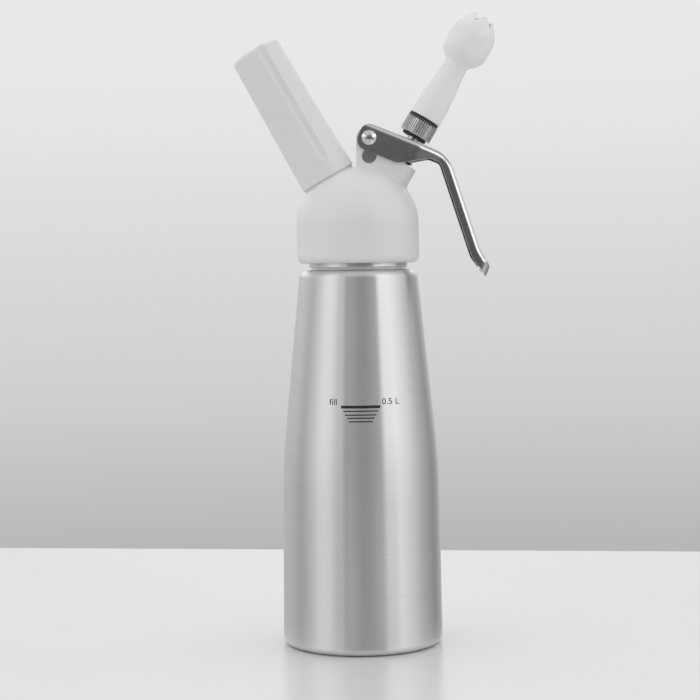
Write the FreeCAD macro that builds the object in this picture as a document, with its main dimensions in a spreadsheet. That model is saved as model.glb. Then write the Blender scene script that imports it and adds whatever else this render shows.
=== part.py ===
import FreeCAD, Part
import math
import os

import Sketcher

# Whipped cream dispenser: an aluminium pressure bottle, a moulded head that screws on it, a screw-on
# charger holder on one arm of the head, and a lever-worked valve with a tulip nozzle on the other arm.
#
# Frame: millimetres, +Z up, origin on the floor at the bottle's axis. +X points to the nozzle arm and the
# lever's handle, so both arms, the lever and its pins are laid out in the XZ plane.
#
# The charger arm and the valve arm are turned parts on slanted axes. Each of those parts is drawn upright,
# with heights measured along its arm from the point where the arm's axis crosses the bottle's axis, and its
# placement tilts it.

# Driving dimensions: name, value, what it is.
SIZES = [
    # bottle
    ("foot_radius", 39.75, "barrel radius carried down to the floor"),
    ("foot_round", 3.5, "outer rounding at the floor"),
    ("foot_ring_width", 5.15, "ring the bottle stands on, from its inner edge to the barrel"),
    ("foot_ring_round", 0.8, "inner rounding of that ring"),
    ("foot_ring_fold", 0.6, "step out of that inner edge on the inside of the wall"),
    ("dome_foot_inset", 3.6, "from that ring to where the pressed-in floor starts to rise"),
    ("dome_foot_share", 0.75, "height of that start as a share of the rise"),
    ("dome_blend", 5.0, "rounding where the pressed-in floor starts to rise"),
    ("dome_rise", 4.6, "height of the pressed-in floor at the axis"),
    ("barrel_radius", 38.74, "radius where barrel and cone would meet"),
    ("barrel_height", 89.9, "height where barrel and cone would meet"),
    ("barrel_blend", 330.0, "radius of the long blend between barrel and cone"),
    ("shoulder_radius", 29.05, "cone radius at the shoulder"),
    ("shoulder_height", 185.3, "height of the shoulder"),
    ("shoulder_round", 4.2, "rounding of the shoulder"),
    ("shoulder_rise", 0.3, "rise of the shoulder towards the neck"),
    ("neck_root_radius", 25.3, "where the neck flares into the shoulder"),
    ("neck_root_rise", 1.9, "height of that flare"),
    ("neck_radius", 24.4, "plain collar of the neck, below the thread"),
    ("neck_thread_depth", 0.7, "depth of the neck's thread below the collar"),
    ("neck_collar_rise", 4.6, "upper end of the collar above the shoulder"),
    ("neck_wall", 2.0, "wall of the neck"),
    ("mouth_rise", 16.7, "top of the bottle above the shoulder"),
    ("bottle_wall", 1.5, "drawn aluminium wall"),
    # head
    ("head_radius", 30.2, "outside of the head's skirt"),
    ("skirt_drop", 13.2, "lower edge of the skirt below the bottle's mouth"),
    ("dome_height", 47.8, "top of the dome above that edge"),
    ("skirt_round", 3.5, "rounding of the skirt's lower edge"),
    ("apex_flat", 1.2, "radius of the dome's flat apex"),
    ("skirt_lip", 1.5, "plastic under the thread ring"),
    ("neck_clearance", 0.6, "gap between the skirt's lip and the neck"),
    ("thread_clearance", 0.3, "gap between the thread ring and the neck's collar"),
    ("thread_ring_wall", 2.5, "wall of the moulded-in thread ring"),
    ("thread_ring_length", 11.2, "length of the thread ring"),
    ("gasket_gap", 0.3, "gap between the bottle's mouth and the gasket"),
    ("gasket_thickness", 2.3, "head gasket"),
    ("gasket_inner_radius", 18.6, "bore of the head gasket"),
    ("chamber_radius", 16.0, "gas chamber in the head"),
    ("chamber_rise", 11.0, "top of the gas chamber above the bottle's mouth"),
    ("chamber_round", 4.0, "rounding at the top of the chamber"),
    ("arm_fillet", 3.0, "fillet between the valve arm and the dome"),
    # charger arm
    ("charger_tilt", 29.3, "lean of the charger arm, to -X"),
    ("charger_centre_rise", 3.6, "where its axis crosses the bottle's, above the mouth"),
    ("charger_seat", 28.7, "height of its flat seat along the arm"),
    ("charger_boss_radius", 13.3, "boss that carries the seat"),
    ("charger_boss_root", 12.0, "how far that boss runs down into the dome"),
    ("charger_rim", 0.9, "rim of the seat above the dome's facing"),
    ("facing_width", 1.5, "facing round the boss, cut flat into the dome"),
    ("inlet_pocket_radius", 7.8, "pocket for the lock nut, open to the chamber"),
    ("inlet_pocket_depth", 18.0, "height of that pocket's floor along the arm"),
    ("inlet_tail_radius", 4.5, "tail of the inlet, through the head"),
    ("inlet_flange_radius", 11.0, "flange sunk in the boss"),
    ("inlet_flange_thickness", 4.7, "thickness of that flange"),
    ("inlet_thread_radius", 9.15, "root of the stud that the holder screws on"),
    ("inlet_thread_length", 13.0, "length of that stud"),
    ("charger_neck_radius", 4.7, "bore for the charger's neck"),
    ("charger_neck_depth", 10.5, "depth of that bore"),
    ("gas_channel_radius", 1.5, "channel down the inlet"),
    ("inlet_tip_radius", 3.4, "stepped end that carries the check sleeve"),
    ("inlet_tip_length", 4.6, "length of that end"),
    ("inlet_nut_flats", 12.0, "lock nut across flats"),
    ("inlet_nut_height", 3.4, "lock nut"),
    ("check_sleeve_wall", 1.2, "rubber sleeve over the gas outlet"),
    ("check_sleeve_setback", 0.6, "end of the inlet that stands out of the sleeve"),
    ("inlet_gasket_thickness", 2.0, "gasket under the charger's neck"),
    ("pin_root", 4.0, "piercing pin sunk in the channel"),
    ("pin_point_length", 3.0, "sharpened end of the piercing pin"),
    ("pin_edge", 0.1, "cutting edge of the piercing pin"),
    ("pin_rise", 7.0, "piercing pin above the floor of the bore"),
    ("pin_bore_radius", 0.5, "gas passage through the piercing pin"),
    # charger holder
    ("holder_gap", 0.3, "gap between the holder and its seat"),
    ("holder_length", 72.4, "length of the charger holder"),
    ("holder_base_radius", 14.05, "outside at its mouth"),
    ("holder_top_radius", 12.7, "outside at its closed end"),
    ("holder_end_round", 2.2, "rounding of the closed end"),
    ("holder_mouth_round", 0.7, "rounding of the mouth"),
    ("holder_bore_radius", 9.4, "bore around the charger"),
    ("holder_end_wall", 3.4, "closed end"),
    ("holder_thread_clearance", 0.7, "room for the thread around the inlet's stud"),
    ("stud_end_gap", 0.8, "room past the end of a stud"),
    ("flute_count", 3, "grip flutes round the holder"),
    ("flute_turn", 12.0, "turn of the first flute from -Y towards +X"),
    ("flute_cutter_radius", 3.2, "radius of a flute's round bottom"),
    ("flute_depth", 1.15, "depth of a flute"),
    ("flute_start", 7.4, "lower end of a flute above the holder's mouth"),
    # valve arm
    ("valve_tilt", 31.0, "lean of the valve arm, to +X"),
    ("valve_centre_rise", 1.5, "where its axis crosses the bottle's, above the mouth"),
    ("boss_radius", 9.3, "outside of the valve boss"),
    ("boss_top", 41.0, "top of the valve boss along the arm"),
    ("boss_root", 18.0, "how far the valve boss runs down into the dome"),
    ("spring_bore_radius", 8.0, "bore for the return spring"),
    ("spring_bore_floor", 30.0, "height of that bore's floor along the arm"),
    ("bush_radius", 6.5, "barrel of the valve bush"),
    ("bush_flange_radius", 8.6, "flange at the bush's inner end"),
    ("bush_flange_bottom", 15.8, "height of the seat face along the arm"),
    ("bush_flange_thickness", 1.8, "flange of the bush"),
    ("bush_pocket_gap", 0.4, "gap round that flange"),
    ("bush_seal_thickness", 1.4, "flat seal between the bush and the head"),
    ("bush_nut_height", 3.0, "round nut that holds the bush"),
    ("bush_nut_radius", 7.6, "outside of that nut"),
    ("seat_lip", 0.8, "raised lip of the valve seat"),
    ("seat_land", 1.2, "width of that lip"),
    ("fit_clearance", 0.05, "radial clearance of running fits"),
    ("stem_radius", 3.6, "sliding part of the valve stem"),
    ("stem_neck_radius", 3.0, "stem above its shoulder"),
    ("stem_bore_radius", 1.9, "cream passage up the stem"),
    ("stem_bore_floor", 0.6, "floor of that passage above the valve gasket"),
    ("stem_port_radius", 1.1, "cross holes below the seat face"),
    ("stem_port_rise", 0.3, "from that floor to the cross holes"),
    ("stem_top_engagement", 10.5, "stem inside the nozzle adapter"),
    ("valve_gap", 0.3, "gap between the valve gasket and its seat"),
    ("valve_gasket_radius", 6.0, "valve gasket"),
    ("valve_gasket_thickness", 2.2, "valve gasket"),
    ("valve_plate_radius", 5.4, "plate under the valve gasket"),
    ("valve_plate_thickness", 1.6, "plate under the valve gasket"),
    ("tail_radius", 2.4, "threaded tail of the stem"),
    ("tail_proud", 0.6, "tail past its nut"),
    ("tail_nut_flats", 7.0, "nut on the stem's tail"),
    ("tail_nut_height", 2.6, "nut on the stem's tail"),
    ("stem_seal_section", 0.86, "section radius of the stem's O-ring, with a shade of clearance"),
    ("stem_seal_height", 25.0, "height of the stem's O-ring along the arm"),
    ("cap_radius", 7.2, "spring cap under the lever"),
    ("cap_thickness", 2.4, "spring cap at its middle"),
    ("cap_crown", 1.3, "fall of the cap's crown from its axis to its rim"),
    ("cap_skirt", 0.8, "skirt under the cap that centres the spring"),
    ("cap_skirt_gap", 0.4, "gap between that skirt and the stem"),
    ("lever_gap", 0.4, "gap between the cap's crown and the lever"),
    ("spring_radius", 5.6, "return spring, middle of the wire"),
    ("wire_diameter", 1.1, "return spring's wire"),
    ("spring_turns", 5.5, "turns of the return spring"),
    # nozzle adapter and nozzle
    ("adapter_bottom", 55.8, "height of the knurled ring along the arm"),
    ("adapter_height", 8.1, "knurled ring"),
    ("adapter_radius", 7.85, "knurled ring, at the foot of its ridges"),
    ("adapter_chamfer", 0.6, "edges of the knurled ring"),
    ("washer_thickness", 1.2, "black washer under the knurled ring"),
    ("washer_radius", 6.3, "black washer under the knurled ring"),
    ("stud_radius", 5.75, "root of the stud that takes the nozzle"),
    ("stud_length", 7.6, "length of that stud"),
    ("nozzle_seal_thickness", 1.3, "black ring under the nozzle"),
    ("nozzle_seal_radius", 7.9, "black ring under the nozzle"),
    ("nozzle_gap", 0.3, "gap between the nozzle and its ring"),
    ("nozzle_base_radius", 8.3, "outside of the nozzle's socket"),
    ("nozzle_socket_height", 8.0, "straight outside of the socket"),
    ("nozzle_socket_clearance", 0.7, "room for the thread around the adapter's stud"),
    ("nozzle_taper_round", 20.0, "rounding where the socket starts to taper"),
    ("nozzle_neck_radius", 5.9, "narrowest part of the nozzle"),
    ("nozzle_neck_height", 31.1, "height of the neck above the nozzle's base"),
    ("nozzle_neck_round", 2.0, "rounding of the neck"),
    ("bulb_radius", 11.6, "tulip's largest radius"),
    ("bulb_low_height", 36.9, "where the tulip's lower slope reaches that radius"),
    ("bulb_high_height", 49.8, "where its upper slope leaves that radius"),
    ("bulb_low_round", 8.0, "rounding below"),
    ("bulb_high_round", 16.0, "rounding above"),
    ("nozzle_length", 57.2, "nozzle from base to tooth tips"),
    ("mouth_radius", 6.0, "outside of the tulip's mouth"),
    ("nozzle_wall", 1.4, "wall of the nozzle"),
    ("tooth_count", 6, "teeth round the mouth"),
    ("tooth_thickness", 0.7, "thickness of a tooth at its tip"),
    ("tooth_round", 0.2, "edges of that tip"),
    ("notch_depth", 4.4, "depth of a notch between two teeth"),
    ("notch_width", 4.6, "width of a notch at the tips"),
    ("notch_turn", 19.0, "turn of the first notch from -Y towards -X"),
    # lever
    ("pivot_across", 6.0, "lever pivot, along +X"),
    ("pivot_rise", 46.5, "lever pivot above the point where the valve arm's axis starts"),
    ("lever_slope", 22.6, "fall of the lever's web towards +X at rest"),
    ("sheet", 1.5, "lever's sheet steel"),
    ("web_start", 2.0, "square end of the web, past the pivot"),
    ("web_rise", 7.0, "outside of the web above the pivot"),
    ("ear_drop", 6.35, "lower edge of the ears below the pivot"),
    ("ear_reach", 5.3, "end of the ears behind the pivot"),
    ("ear_top_start", 0.8, "where the ears' top edge starts to fall, past the pivot"),
    ("ear_top_fall", 0.7, "fall of the ears' top edge behind the web"),
    ("web_length", 39.6, "pivot to the bend"),
    ("bend_angle", 49.6, "bend from the web to the handle"),
    ("bend_round", 16.0, "outer radius of that bend"),
    ("flange_belly", 17.8, "where the flanges' lower edge starts to rise"),
    ("rise_before_bend", 8.3, "from where it has risen to the bend"),
    ("flange_rise_level", 2.0, "its level there, above the pivot line"),
    ("belly_round", 10.0, "rounding where the flanges rise"),
    ("hump_round", 3.8, "rounding of the finger hollow"),
    ("handle_length", 49.0, "bend to the flared end"),
    ("handle_depth", 5.1, "depth of the handle's channel"),
    ("flare_angle", 13.6, "outward turn of the handle's end"),
    ("flare_length", 9.6, "length of that end"),
    ("flare_lag", 2.4, "how much later the handle's inner edge turns out"),
    ("flare_round", 20.0, "rounding into the flared end"),
    ("tip_depth", 5.3, "depth of the channel at its tip"),
    ("lever_side_gap", 0.45, "gap between an ear and the bracket"),
    ("handle_half_width", 7.8, "half the width of the handle"),
    ("taper_run", 13.0, "length over which the lever narrows to the handle's width"),
    ("taper_before_bend", 2.6, "from the end of that narrowing to the bend"),
    ("taper_round", 12.0, "rounding of that narrowing"),
    ("tip_corner", 5.5, "plan rounding of the tip"),
    ("lever_edge_round", 2.6, "outer radius of the folds"),
    ("slot_clearance", 0.6, "gap round the stem in the web's slot"),
    ("press_angle", 10.0, "travel of the lever"),
    # bracket and pins
    ("bracket_left", 6.2, "bracket behind the pivot"),
    ("bracket_clearance", 0.5, "gap between the bracket's top and the web"),
    ("bracket_slope_margin", 1.4, "bracket's top slope beyond the pressed lever"),
    ("bracket_step", 8.4, "side of the bracket beside the spring cap"),
    ("pivot_pin_radius", 2.5, "lever pin"),
    ("pin_head_radius", 3.6, "domed heads of the lever pin"),
    ("pin_head_height", 1.9, "domed heads of the lever pin"),
    ("pin_head_edge", 0.6, "straight edge of those heads"),
    ("pin_head_gap", 0.3, "gap between an ear and a pin head"),
    ("stop_pin_radius", 3.65, "plain cross pin below the lever pin"),
    ("stop_pin_drop", 8.8, "that pin's axis below the lever pin's"),
    ("stop_pin_proud", 0.1, "how far its ends stand out of the bracket"),
    # all turned parts
    ("edge_round", 0.4, "small edges of turned parts"),
]

doc = FreeCAD.newDocument("cream_dispenser")
sheet = doc.addObject("Spreadsheet::Sheet", "dims")


class Size:
    """A number together with the sheet expression that gives it."""

    def __init__(self, value, text):
        self.value = float(value)
        self.text = text

    def __add__(self, other):
        other = as_size(other)
        return Size(self.value + other.value, "(%s + %s)" % (self.text, other.text))

    def __sub__(self, other):
        other = as_size(other)
        return Size(self.value - other.value, "(%s - %s)" % (self.text, other.text))

    def __mul__(self, other):
        other = as_size(other)
        return Size(self.value * other.value, "(%s * %s)" % (self.text, other.text))

    def __truediv__(self, other):
        other = as_size(other)
        return Size(self.value / other.value, "(%s / %s)" % (self.text, other.text))

    def __neg__(self):
        return Size(-self.value, "(-1 * %s)" % self.text)


class Dimensions:
    """The sheet's sizes as attributes: dims.sheet is the lever's sheet thickness."""

    def __init__(self, rows):
        for name, value, _ in rows:
            setattr(self, name, Size(value, "dims.%s" % name))


def as_size(value):
    """A plain number as a Size."""
    if isinstance(value, Size):
        return value
    return Size(value, "(%r)" % float(value))


def sine(angle):
    return Size(math.sin(math.radians(angle.value)), "sin(1 deg * %s)" % angle.text)


def cosine(angle):
    return Size(math.cos(math.radians(angle.value)), "cos(1 deg * %s)" % angle.text)


def tangent(angle):
    return sine(angle) / cosine(angle)


def square_root(size):
    return Size(math.sqrt(size.value), "sqrt(%s)" % size.text)


def fill_sheet():
    """Write each size's name, number and meaning in a row of the sheet."""
    for row, (name, value, meaning) in enumerate(SIZES, 1):
        sheet.set("A%d" % row, name)
        sheet.set("B%d" % row, str(value))
        sheet.set("C%d" % row, meaning)
        sheet.setAlias("B%d" % row, name)
    doc.recompute()


dims = Dimensions(SIZES)
fill_sheet()


# ---------------------------------------------------------------- drawing helpers

def bind(thing, path, size):
    """Tie one property to the sheet."""
    thing.setExpression(path, size.text)


def origin_part(body, role):
    """One of a body's own origin planes or axes."""
    return [part for part in body.Origin.OriginFeatures if part.Role == role][0]


def new_sketch(body, name, plane, turn=None):
    """A sketch on an origin plane. turn swings the plane about the body's own Z axis."""
    sketch = body.newObject("Sketcher::SketchObject", name)
    sketch.AttachmentSupport = [(origin_part(body, plane), "")]
    sketch.MapMode = "FlatFace"
    if turn is not None:
        sketch.AttachmentOffset = FreeCAD.Placement(
            FreeCAD.Vector(0, 0, 0),
            FreeCAD.Rotation(FreeCAD.Vector(0, math.copysign(1, turn.value), 0), abs(turn.value)),
        )
        bind(sketch, "AttachmentOffset.Rotation.Angle", turn if turn.value > 0 else -turn)
    return sketch


def hold_point(sketch, geometry, end, across, up):
    """Fix a point at (across, up) from the sketch's origin."""
    for kind, size in (("DistanceX", across), ("DistanceY", up)):
        index = sketch.addConstraint(Sketcher.Constraint(kind, -1, 1, geometry, end, size.value))
        if "dims" in size.text:
            bind(sketch, "Constraints[%d]" % index, size)


class Corner:
    """A profile corner with its rounding and the points where its arc begins and ends."""

    def __init__(self, across, up, rounding=0.0):
        self.across = as_size(across)
        self.up = as_size(up)
        self.rounding = as_size(rounding)
        self.point = FreeCAD.Vector(self.across.value, self.up.value, 0)
        self.enter = self.point
        self.leave = self.point
        self.arc = None

    def round_between(self, before, after):
        back = (before.point - self.point).normalize()
        ahead = (after.point - self.point).normalize()
        half = back.getAngle(ahead) / 2
        radius = self.rounding.value
        self.enter = self.point + back * (radius / math.tan(half))
        self.leave = self.point + ahead * (radius / math.tan(half))
        self.centre = self.point + (back + ahead).normalize() * (radius / math.sin(half))
        self.turns_left = back.cross(ahead).z < 0

    def add_arc(self, sketch):
        start, stop = (self.enter, self.leave) if self.turns_left else (self.leave, self.enter)
        angles = [math.atan2(p.y - self.centre.y, p.x - self.centre.x) for p in (start, stop)]
        circle = Part.Circle(self.centre, FreeCAD.Vector(0, 0, 1), self.rounding.value)
        self.arc = sketch.addGeometry(Part.ArcOfCircle(circle, angles[0], angles[1]), False)
        self.enter_end, self.leave_end = (1, 2) if self.turns_left else (2, 1)
        index = sketch.addConstraint(Sketcher.Constraint("Radius", self.arc, self.rounding.value))
        if "dims" in self.rounding.text:
            bind(sketch, "Constraints[%d]" % index, self.rounding)


def draw_outline(sketch, corners):
    """Draw a closed outline of straight runs, with each corner rounded by its own radius."""
    corners = [Corner(*corner) for corner in corners]
    count = len(corners)
    for index, corner in enumerate(corners):
        if corner.rounding.value > 0:
            corner.round_between(corners[index - 1], corners[(index + 1) % count])
    lines = []
    for index, corner in enumerate(corners):
        after = corners[(index + 1) % count]
        lines.append(sketch.addGeometry(Part.LineSegment(corner.leave, after.enter), False))
    for index, corner in enumerate(corners):
        before, after = lines[index - 1], lines[index]
        if corner.rounding.value > 0:
            corner.add_arc(sketch)
            sketch.addConstraint(Sketcher.Constraint("Tangent", before, 2, corner.arc, corner.enter_end))
            sketch.addConstraint(Sketcher.Constraint("Tangent", corner.arc, corner.leave_end, after, 1))
            mark = sketch.addGeometry(Part.Point(corner.point), True)
            sketch.addConstraint(Sketcher.Constraint("PointOnObject", mark, 1, before))
            sketch.addConstraint(Sketcher.Constraint("PointOnObject", mark, 1, after))
            hold_point(sketch, mark, 1, corner.across, corner.up)
        else:
            sketch.addConstraint(Sketcher.Constraint("Coincident", before, 2, after, 1))
            hold_point(sketch, after, 1, corner.across, corner.up)
    return lines


def draw_circle(sketch, across, up, radius):
    """Draw a circle with its centre at (across, up)."""
    across, up, radius = as_size(across), as_size(up), as_size(radius)
    centre = FreeCAD.Vector(across.value, up.value, 0)
    circle = Part.Circle(centre, FreeCAD.Vector(0, 0, 1), radius.value)
    index = sketch.addGeometry(circle, False)
    hold_point(sketch, index, 3, across, up)
    limit = sketch.addConstraint(Sketcher.Constraint("Radius", index, radius.value))
    bind(sketch, "Constraints[%d]" % limit, radius)


def new_body(label):
    body = doc.addObject("PartDesign::Body", label)
    body.Label = label
    return body


def revolve(body, sketch, name, kind="PartDesign::Revolution"):
    """Revolve a sketch about its own vertical axis."""
    feature = body.newObject(kind, name)
    feature.Profile = sketch
    feature.ReferenceAxis = (sketch, ["V_Axis"])
    feature.Angle = 360
    body.Tip = feature
    return feature


def turned(label, corners):
    """A body turned about its own Z axis from (radius, height, rounding) corners."""
    body = new_body(label)
    sketch = new_sketch(body, label + "_profile", "XZ_Plane")
    draw_outline(sketch, corners)
    revolve(body, sketch, label + "_turned")
    return body


def ring(label, inner, outer, bottom, height, rounding=0.0):
    """A plain ring or washer."""
    top = bottom + height
    corners = [
        (inner, bottom),
        (outer, bottom, rounding),
        (outer, top, rounding),
        (inner, top),
    ]
    return turned(label, corners)


def rod(label, radius, bottom, top):
    """A plain cylinder, mostly used as a cutting tool."""
    return turned(label, [(0, bottom), (radius, bottom), (radius, top), (0, top)])


def padded(body, sketch, name, length, both_sides=False):
    """Pad a sketch by a length, to one side or half to each side."""
    feature = body.newObject("PartDesign::Pad", name)
    feature.Profile = sketch
    feature.Midplane = both_sides
    bind(feature, "Length", length)
    body.Tip = feature
    return feature


def pocketed(body, sketch, name):
    """Cut a sketch through the whole body, both ways."""
    feature = body.newObject("PartDesign::Pocket", name)
    feature.Profile = sketch
    feature.Midplane = True
    feature.Type = "ThroughAll"
    body.Tip = feature
    return feature


def polar(body, feature, name, count):
    """Repeat a feature evenly round the body's Z axis."""
    pattern = body.newObject("PartDesign::PolarPattern", name)
    pattern.Originals = [feature]
    pattern.Axis = (origin_part(body, "Z_Axis"), [""])
    pattern.Angle = 360
    pattern.Occurrences = int(count.value)
    bind(pattern, "Occurrences", count)
    body.Tip = pattern
    return pattern


def filleted(body, name, radius, is_seed):
    """Round the edges that is_seed picks, and what runs on smoothly from them."""
    doc.recompute()
    base = body.Tip
    edges = ["Edge%d" % number for number, edge in enumerate(base.Shape.Edges, 1) if is_seed(edge)]
    if not edges:
        raise RuntimeError("%s: no edge to round" % name)
    feature = body.newObject("PartDesign::Fillet", name)
    feature.Base = (base, edges)
    bind(feature, "Radius", radius)
    body.Tip = feature
    return feature


def cut(label, base, tools):
    """Base less its tools."""
    feature = base
    for number, tool in enumerate(tools, 1):
        last = number == len(tools)
        after = doc.addObject("Part::Cut", label if last else "%s_less_%d" % (label, number))
        after.Base = feature
        after.Tool = tool
        feature = after
    feature.Label = label
    return feature


def fused(label, parts):
    feature = doc.addObject("Part::MultiFuse", label)
    feature.Shapes = parts
    feature.Label = label
    return feature


def on_charger_arm(part):
    """Tilt a part drawn upright on to the charger arm."""
    part.Placement = FreeCAD.Placement(
        FreeCAD.Vector(0, 0, charger_centre.value),
        FreeCAD.Rotation(FreeCAD.Vector(0, -1, 0), dims.charger_tilt.value),
    )
    bind(part, "Placement.Base.z", charger_centre)
    bind(part, "Placement.Rotation.Angle", dims.charger_tilt)
    return part


def on_valve_arm(part):
    """Tilt a part drawn upright on to the valve arm."""
    part.Placement = FreeCAD.Placement(
        FreeCAD.Vector(0, 0, valve_centre.value),
        FreeCAD.Rotation(FreeCAD.Vector(0, 1, 0), dims.valve_tilt.value),
    )
    bind(part, "Placement.Base.z", valve_centre)
    bind(part, "Placement.Rotation.Angle", dims.valve_tilt)
    return part


def on_pivot(part):
    """Turn a part drawn along the lever's web on to the pivot."""
    part.Placement = FreeCAD.Placement(
        FreeCAD.Vector(dims.pivot_across.value, 0, pivot_height.value),
        FreeCAD.Rotation(FreeCAD.Vector(0, 1, 0), dims.lever_slope.value),
    )
    bind(part, "Placement.Base.x", dims.pivot_across)
    bind(part, "Placement.Base.z", pivot_height)
    bind(part, "Placement.Rotation.Angle", dims.lever_slope)
    return part


def across_bracket(part, drop=as_size(0)):
    """Lay a part drawn upright along -Y, drop below the lever's pivot."""
    height = pivot_height - drop
    part.Placement = FreeCAD.Placement(
        FreeCAD.Vector(dims.pivot_across.value, 0, height.value),
        FreeCAD.Rotation(FreeCAD.Vector(1, 0, 0), 90),
    )
    bind(part, "Placement.Base.x", dims.pivot_across)
    bind(part, "Placement.Base.z", height)
    return part


# ---------------------------------------------------------------- places that several parts share

# The head and all it carries stand on the bottle's mouth.
mouth_height = dims.shoulder_height + dims.mouth_rise
head_bottom = mouth_height - dims.skirt_drop
head_top = head_bottom + dims.dome_height
charger_centre = mouth_height + dims.charger_centre_rise
valve_centre = mouth_height + dims.valve_centre_rise
pivot_height = valve_centre + dims.pivot_rise

thread_ring_bore = dims.neck_radius + dims.thread_clearance
thread_ring_bottom = head_bottom + dims.skirt_lip
gasket_bottom = mouth_height + dims.gasket_gap
ceiling = gasket_bottom + dims.gasket_thickness

inlet_stud_top = dims.charger_seat + dims.inlet_thread_length
inlet_flange_bottom = dims.charger_seat - dims.inlet_flange_thickness
charger_neck_floor = inlet_stud_top - dims.charger_neck_depth
holder_bottom = dims.charger_seat + dims.holder_gap
holder_top = holder_bottom + dims.holder_length

bush_flange_top = dims.bush_flange_bottom + dims.bush_flange_thickness
bush_pocket_floor = bush_flange_top + dims.bush_seal_thickness
# The bush ends level with its nut, and the spring stands on both.
spring_floor = dims.spring_bore_floor + dims.bush_nut_height
bush_bore = dims.stem_radius + dims.fit_clearance

# The pivot seen from the valve arm: its height along the arm, and how far the arm's axis passes from it.
pivot_along_arm = dims.pivot_across * sine(dims.valve_tilt) + dims.pivot_rise * cosine(dims.valve_tilt)
lever_arm = dims.pivot_rise * sine(dims.valve_tilt) - dims.pivot_across * cosine(dims.valve_tilt)
# The web's tilt against the plane square to the valve arm, at rest.
web_lean = dims.valve_tilt - dims.lever_slope


def web_crossing(level, lean):
    """Height along the valve arm where a line of the web, level above the pivot, crosses its axis."""
    return pivot_along_arm + (level + lever_arm * sine(lean)) / cosine(lean)


web_underside = web_crossing(dims.web_rise - dims.sheet, web_lean)
cap_top = web_underside - dims.lever_gap
cap_bottom = cap_top - dims.cap_thickness

adapter_top = dims.adapter_bottom + dims.adapter_height
nozzle_seal_top = adapter_top + dims.nozzle_seal_thickness
nozzle_bottom = nozzle_seal_top + dims.nozzle_gap
stud_top = adapter_top + dims.stud_length
stem_top = dims.adapter_bottom + dims.stem_top_engagement

# The lever's ears run beside the bracket, which is as wide as the valve boss.
ear_inside = dims.boss_radius + dims.lever_side_gap
ear_outside = ear_inside + dims.sheet
# The lever's side view runs this far past its tip, which the plan then cuts round.
tip_allowance = as_size(2)

# A form that only cuts or is cut away runs this far past the form it works on.
room = as_size(14)
# A full rounding is drawn this much short of full, so that a short straight run stays beside it.
shade = as_size(0.02)


# ---------------------------------------------------------------- bottle

def build_bottle():
    """One drawn wall: a ring foot round a pressed-in floor, a long cone, a shoulder and a neck."""
    wall = dims.bottle_wall
    neck_bore = dims.neck_radius - dims.neck_wall
    thread_root = dims.neck_radius - dims.neck_thread_depth
    ring_inside = dims.foot_radius - dims.foot_ring_width
    dome_foot = ring_inside - dims.dome_foot_inset
    dome_start = dims.dome_rise * dims.dome_foot_share
    shoulder_top = dims.shoulder_height + dims.shoulder_rise
    collar_top = dims.shoulder_height + dims.neck_collar_rise
    return turned("bottle", [
        (0, dims.dome_rise),
        (dome_foot, dome_start, dims.dome_blend),
        (ring_inside, 0, dims.foot_ring_round),
        (dims.foot_radius, 0, dims.foot_round),
        (dims.barrel_radius, dims.barrel_height, dims.barrel_blend),
        (dims.shoulder_radius, dims.shoulder_height, dims.shoulder_round),
        (dims.neck_root_radius, shoulder_top, dims.edge_round),
        (dims.neck_radius, dims.shoulder_height + dims.neck_root_rise, dims.edge_round * 2),
        (dims.neck_radius, collar_top),
        (thread_root, collar_top + dims.neck_thread_depth),
        (thread_root, mouth_height, dims.edge_round),
        (neck_bore, mouth_height, dims.edge_round),
        (neck_bore, shoulder_top - wall, wall),
        (dims.shoulder_radius - wall, dims.shoulder_height - wall, dims.shoulder_round - wall),
        (dims.barrel_radius - wall, dims.barrel_height, dims.barrel_blend - wall),
        (dims.foot_radius - wall, wall, dims.foot_round - wall),
        (ring_inside + dims.foot_ring_fold, wall, dims.foot_ring_round),
        (dome_foot, dome_start + wall, dims.dome_blend),
        (0, dims.dome_rise + wall),
    ])


# ---------------------------------------------------------------- head

def build_head_dome():
    """Skirt and dome, hollowed for the bottle's neck, the thread ring, the gasket and the gas chamber."""
    ring_outside = thread_ring_bore + dims.thread_ring_wall
    ring_top = thread_ring_bottom + dims.thread_ring_length
    lip = dims.neck_radius + dims.neck_clearance
    chamber_top = mouth_height + dims.chamber_rise
    return turned("head_dome", [
        (lip, head_bottom),
        (dims.head_radius, head_bottom, dims.skirt_round),
        (dims.head_radius, head_top, dims.head_radius - dims.apex_flat),
        (0, head_top),
        (0, chamber_top),
        (dims.chamber_radius, chamber_top, dims.chamber_round),
        (dims.chamber_radius, ceiling),
        (thread_ring_bore, ceiling),
        (thread_ring_bore, ring_top),
        (ring_outside, ring_top),
        (ring_outside, thread_ring_bottom),
        (lip, thread_ring_bottom),
    ])


def on_arm(along, sideways):
    """World (X, Z) of a point given along and beside the valve arm."""
    across = along * sine(dims.valve_tilt) + sideways * cosine(dims.valve_tilt)
    up = valve_centre + along * cosine(dims.valve_tilt) - sideways * sine(dims.valve_tilt)
    return across, up


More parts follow.
